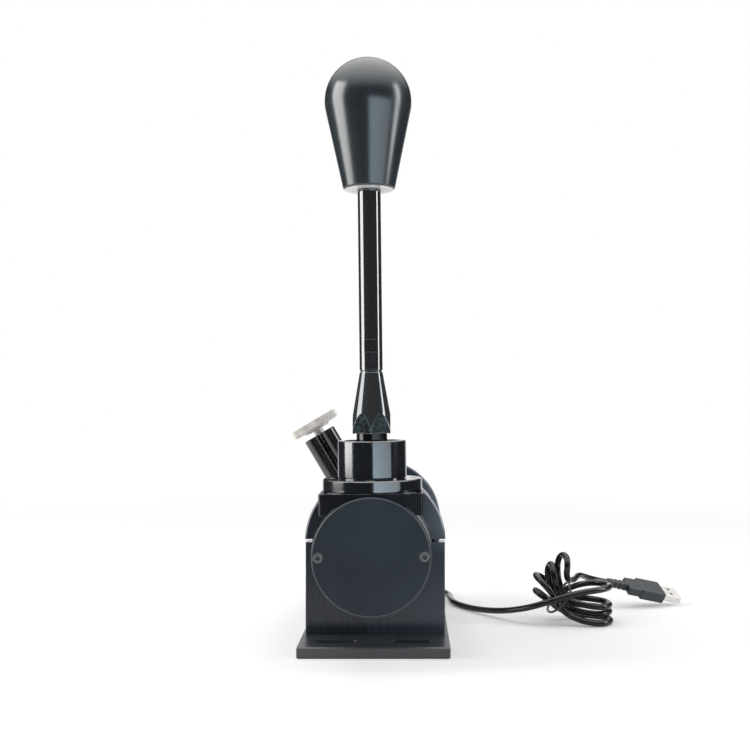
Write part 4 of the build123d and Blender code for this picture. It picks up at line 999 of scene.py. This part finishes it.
cord = {
    "radius": 0.0019, "length": 0.826, "sides": 6, "steps": 10,
    "route": [
        (0, 0.084, 0.0573), (0, 0.099, 0.0573), (0.002, 0.113, 0.050), (0.006, 0.1215, 0.036),
        (0.012, 0.124, 0.020), (0.020, 0.122, 0.007), (0.0295, 0.115, 0.0022), (0.039, 0.104, 0.002),
        (0.0466, 0.086, 0.002), (0.0462, 0.069, 0.002), (0.049, 0.052, 0.002), (0.060, 0.0335, 0.0022),
        (0.074, 0.0135, 0.0046), (0.088, -0.002, 0.0092), (0.100, -0.0098, 0.0142), (0.110, -0.012, 0.0179),
    ],
    "lead": [
        (0.1205, 0.0145, 0.024), (0.1245, 0.024, 0.0255), (0.1298, 0.034, 0.0229), (0.1363, 0.0427, 0.0197),
        (0.1466, 0.046, 0.0172),
    ],
}
hank = {
    "middle": 0.004, "lobeSteps": 7, "crossing": 0.6,
    "entry": [
        (0.1205, -0.0126, 0.0208), (0.130, -0.0098, 0.0216), (0.1378, -0.0042, 0.0218),
        (0.141, 0.0042, 0.0219), (0.1384, 0.0126, 0.022), (0.1313, 0.0178, 0.0217),
        (0.1237, 0.0188, 0.0202), (0.117, 0.0169, 0.0181),
    ],
    "passes": [
        (0.1105, 0.0142, 0.0182), (0.111, -0.0044, 0.0074), (0.110, 0.0062, 0.0072), (0.111, 0.0026, 0.0102),
        (0.110, 0.0092, 0.0128), (0.1126, 0.0011, 0.0148), (0.1115, 0.0062, 0.0174), (0.1148, 0.0026, 0.0258),
    ],
    "lobes": [  # bend, tip, half width, twist, fullness
        ((0.1035, 0.0235), (0.0952, 0.0284), 0.0102, -6, 1.1),
        ((0.121, 0.0008), (0.141, 0.0023), 0.0148, 0, 1.35),
        ((0.1025, 0.014), (0.095, 0.0194), 0.0066, 0, 1.0),
        ((0.121, 0.0062), (0.1413, 0.0068), 0.0146, 0, 1.35),
        ((0.1025, 0.023), (0.1052, 0.0356), 0.0071, 18, 1.2),
        ((0.121, 0.0112), (0.1408, 0.0113), 0.0144, 0, 1.35),
        ((0.1098, 0.029), (0.113, 0.0412), 0.0072, 22, 1.2),
    ],
}


def bentLine(start, bend, tip, share):
    a, b, c = (1 - share) ** 2, 2 * share * (1 - share), share ** 2
    return a * start[0] + b * bend[0] + c * tip[0], a * start[1] + b * bend[1] + c * tip[1]


def lobePoints(side, entry, leave, lobe):
    bend, tip, halfWidth, twist, fullness = lobe
    widest = math.atan(math.sqrt(fullness))
    peak = math.cos(widest) * math.sin(widest) ** fullness
    entrySide, leaveSide = entry[1] - hank["middle"], leave[1] - hank["middle"]
    bulge = (halfWidth - hank["crossing"] * max(abs(entrySide), abs(leaveSide))) / peak
    dx, dz = tip[0] - bend[0], tip[1] - bend[1]
    run = math.hypot(dx, dz)
    points = []
    for k in range(1, hank["lobeSteps"]):
        angle = math.pi * k / hank["lobeSteps"]
        share, fade = math.sin(angle), (1 + math.cos(angle)) / 2
        x0, z0 = bentLine((entry[0], entry[2]), bend, tip, share)
        x1, z1 = bentLine((leave[0], leave[2]), bend, tip, share)
        out = side * bulge * math.cos(angle) * share ** fullness
        lift = out * math.sin(math.radians(twist))
        y = hank["middle"] + entrySide * fade + leaveSide * (1 - fade) + out * math.cos(math.radians(twist))
        x = x0 * fade + x1 * (1 - fade) - lift * dz / run
        z = z0 * fade + z1 * (1 - fade) + lift * dx / run
        points.append((x, y, z))
    return points


def hankPoints():
    points = list(hank["entry"])
    side = 1
    for entry, leave, lobe in zip(hank["passes"], hank["passes"][1:], hank["lobes"]):
        points.append(entry)
        points += lobePoints(side, entry, leave, lobe)
        side = -side
    return points + [hank["passes"][-1]]


def drawSpline(name, points, look, material, cyclic=False):
    line = bpy.data.curves.new(name, "CURVE")
    line.dimensions = "3D"
    spline = line.splines.new("NURBS")
    spline.points.add(len(points) - 1)
    for place, point in zip(spline.points, points):
        place.co = (*point, 1)
    spline.order_u = 3
    spline.use_endpoint_u = not cyclic
    spline.use_cyclic_u = cyclic
    spline.resolution_u = look["steps"]
    line.bevel_depth = look["radius"]
    line.bevel_resolution = look["sides"]
    line.use_fill_caps = not cyclic
    line.materials.append(material)
    piece = bpy.data.objects.new(name, line)
    bpy.context.collection.objects.link(piece)
    return piece


usbCord = drawSpline("usbCord", cord["route"] + hankPoints() + cord["lead"], cord, finishes["jacket"])
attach(usbCord, "base")
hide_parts("cord", "cord_hank", "cord_lead")
print("cord laid")

# Wire tie round the hank: its corners are y and w, and w climbs to the right at the lean, in degrees
tie = {
    "radius": 0.0007, "sides": 4, "steps": 10, "origin": (0.1098, 0, 0.0135), "lean": 46.2, "spread": 1.10,
    "corners": [
        (-0.0106, -0.0025), (-0.004, -0.0078), (0.0095, -0.0092), (0.017, -0.004), (0.0218, 0.0045),
        (0.0202, 0.0112), (0.007, 0.009), (-0.004, 0.0078), (-0.0102, 0.003),
    ],
}


def tiePoints(look):
    lean = math.radians(look["lean"])
    ox, oy, oz = look["origin"]
    my = sum(y for y, w in look["corners"]) / len(look["corners"])
    mw = sum(w for y, w in look["corners"]) / len(look["corners"])
    points = []
    for y, w in look["corners"]:
        y, w = my + (y - my) * look["spread"], mw + (w - mw) * look["spread"]
        points.append((ox + w * math.cos(lean), oy + y, oz + w * math.sin(lean)))
    return points


hankTie = drawSpline("hankTie", tiePoints(tie), tie, finishes["plastic"], cyclic=True)
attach(hankTie, "base")
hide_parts("hank_tie")
print("hank tied")
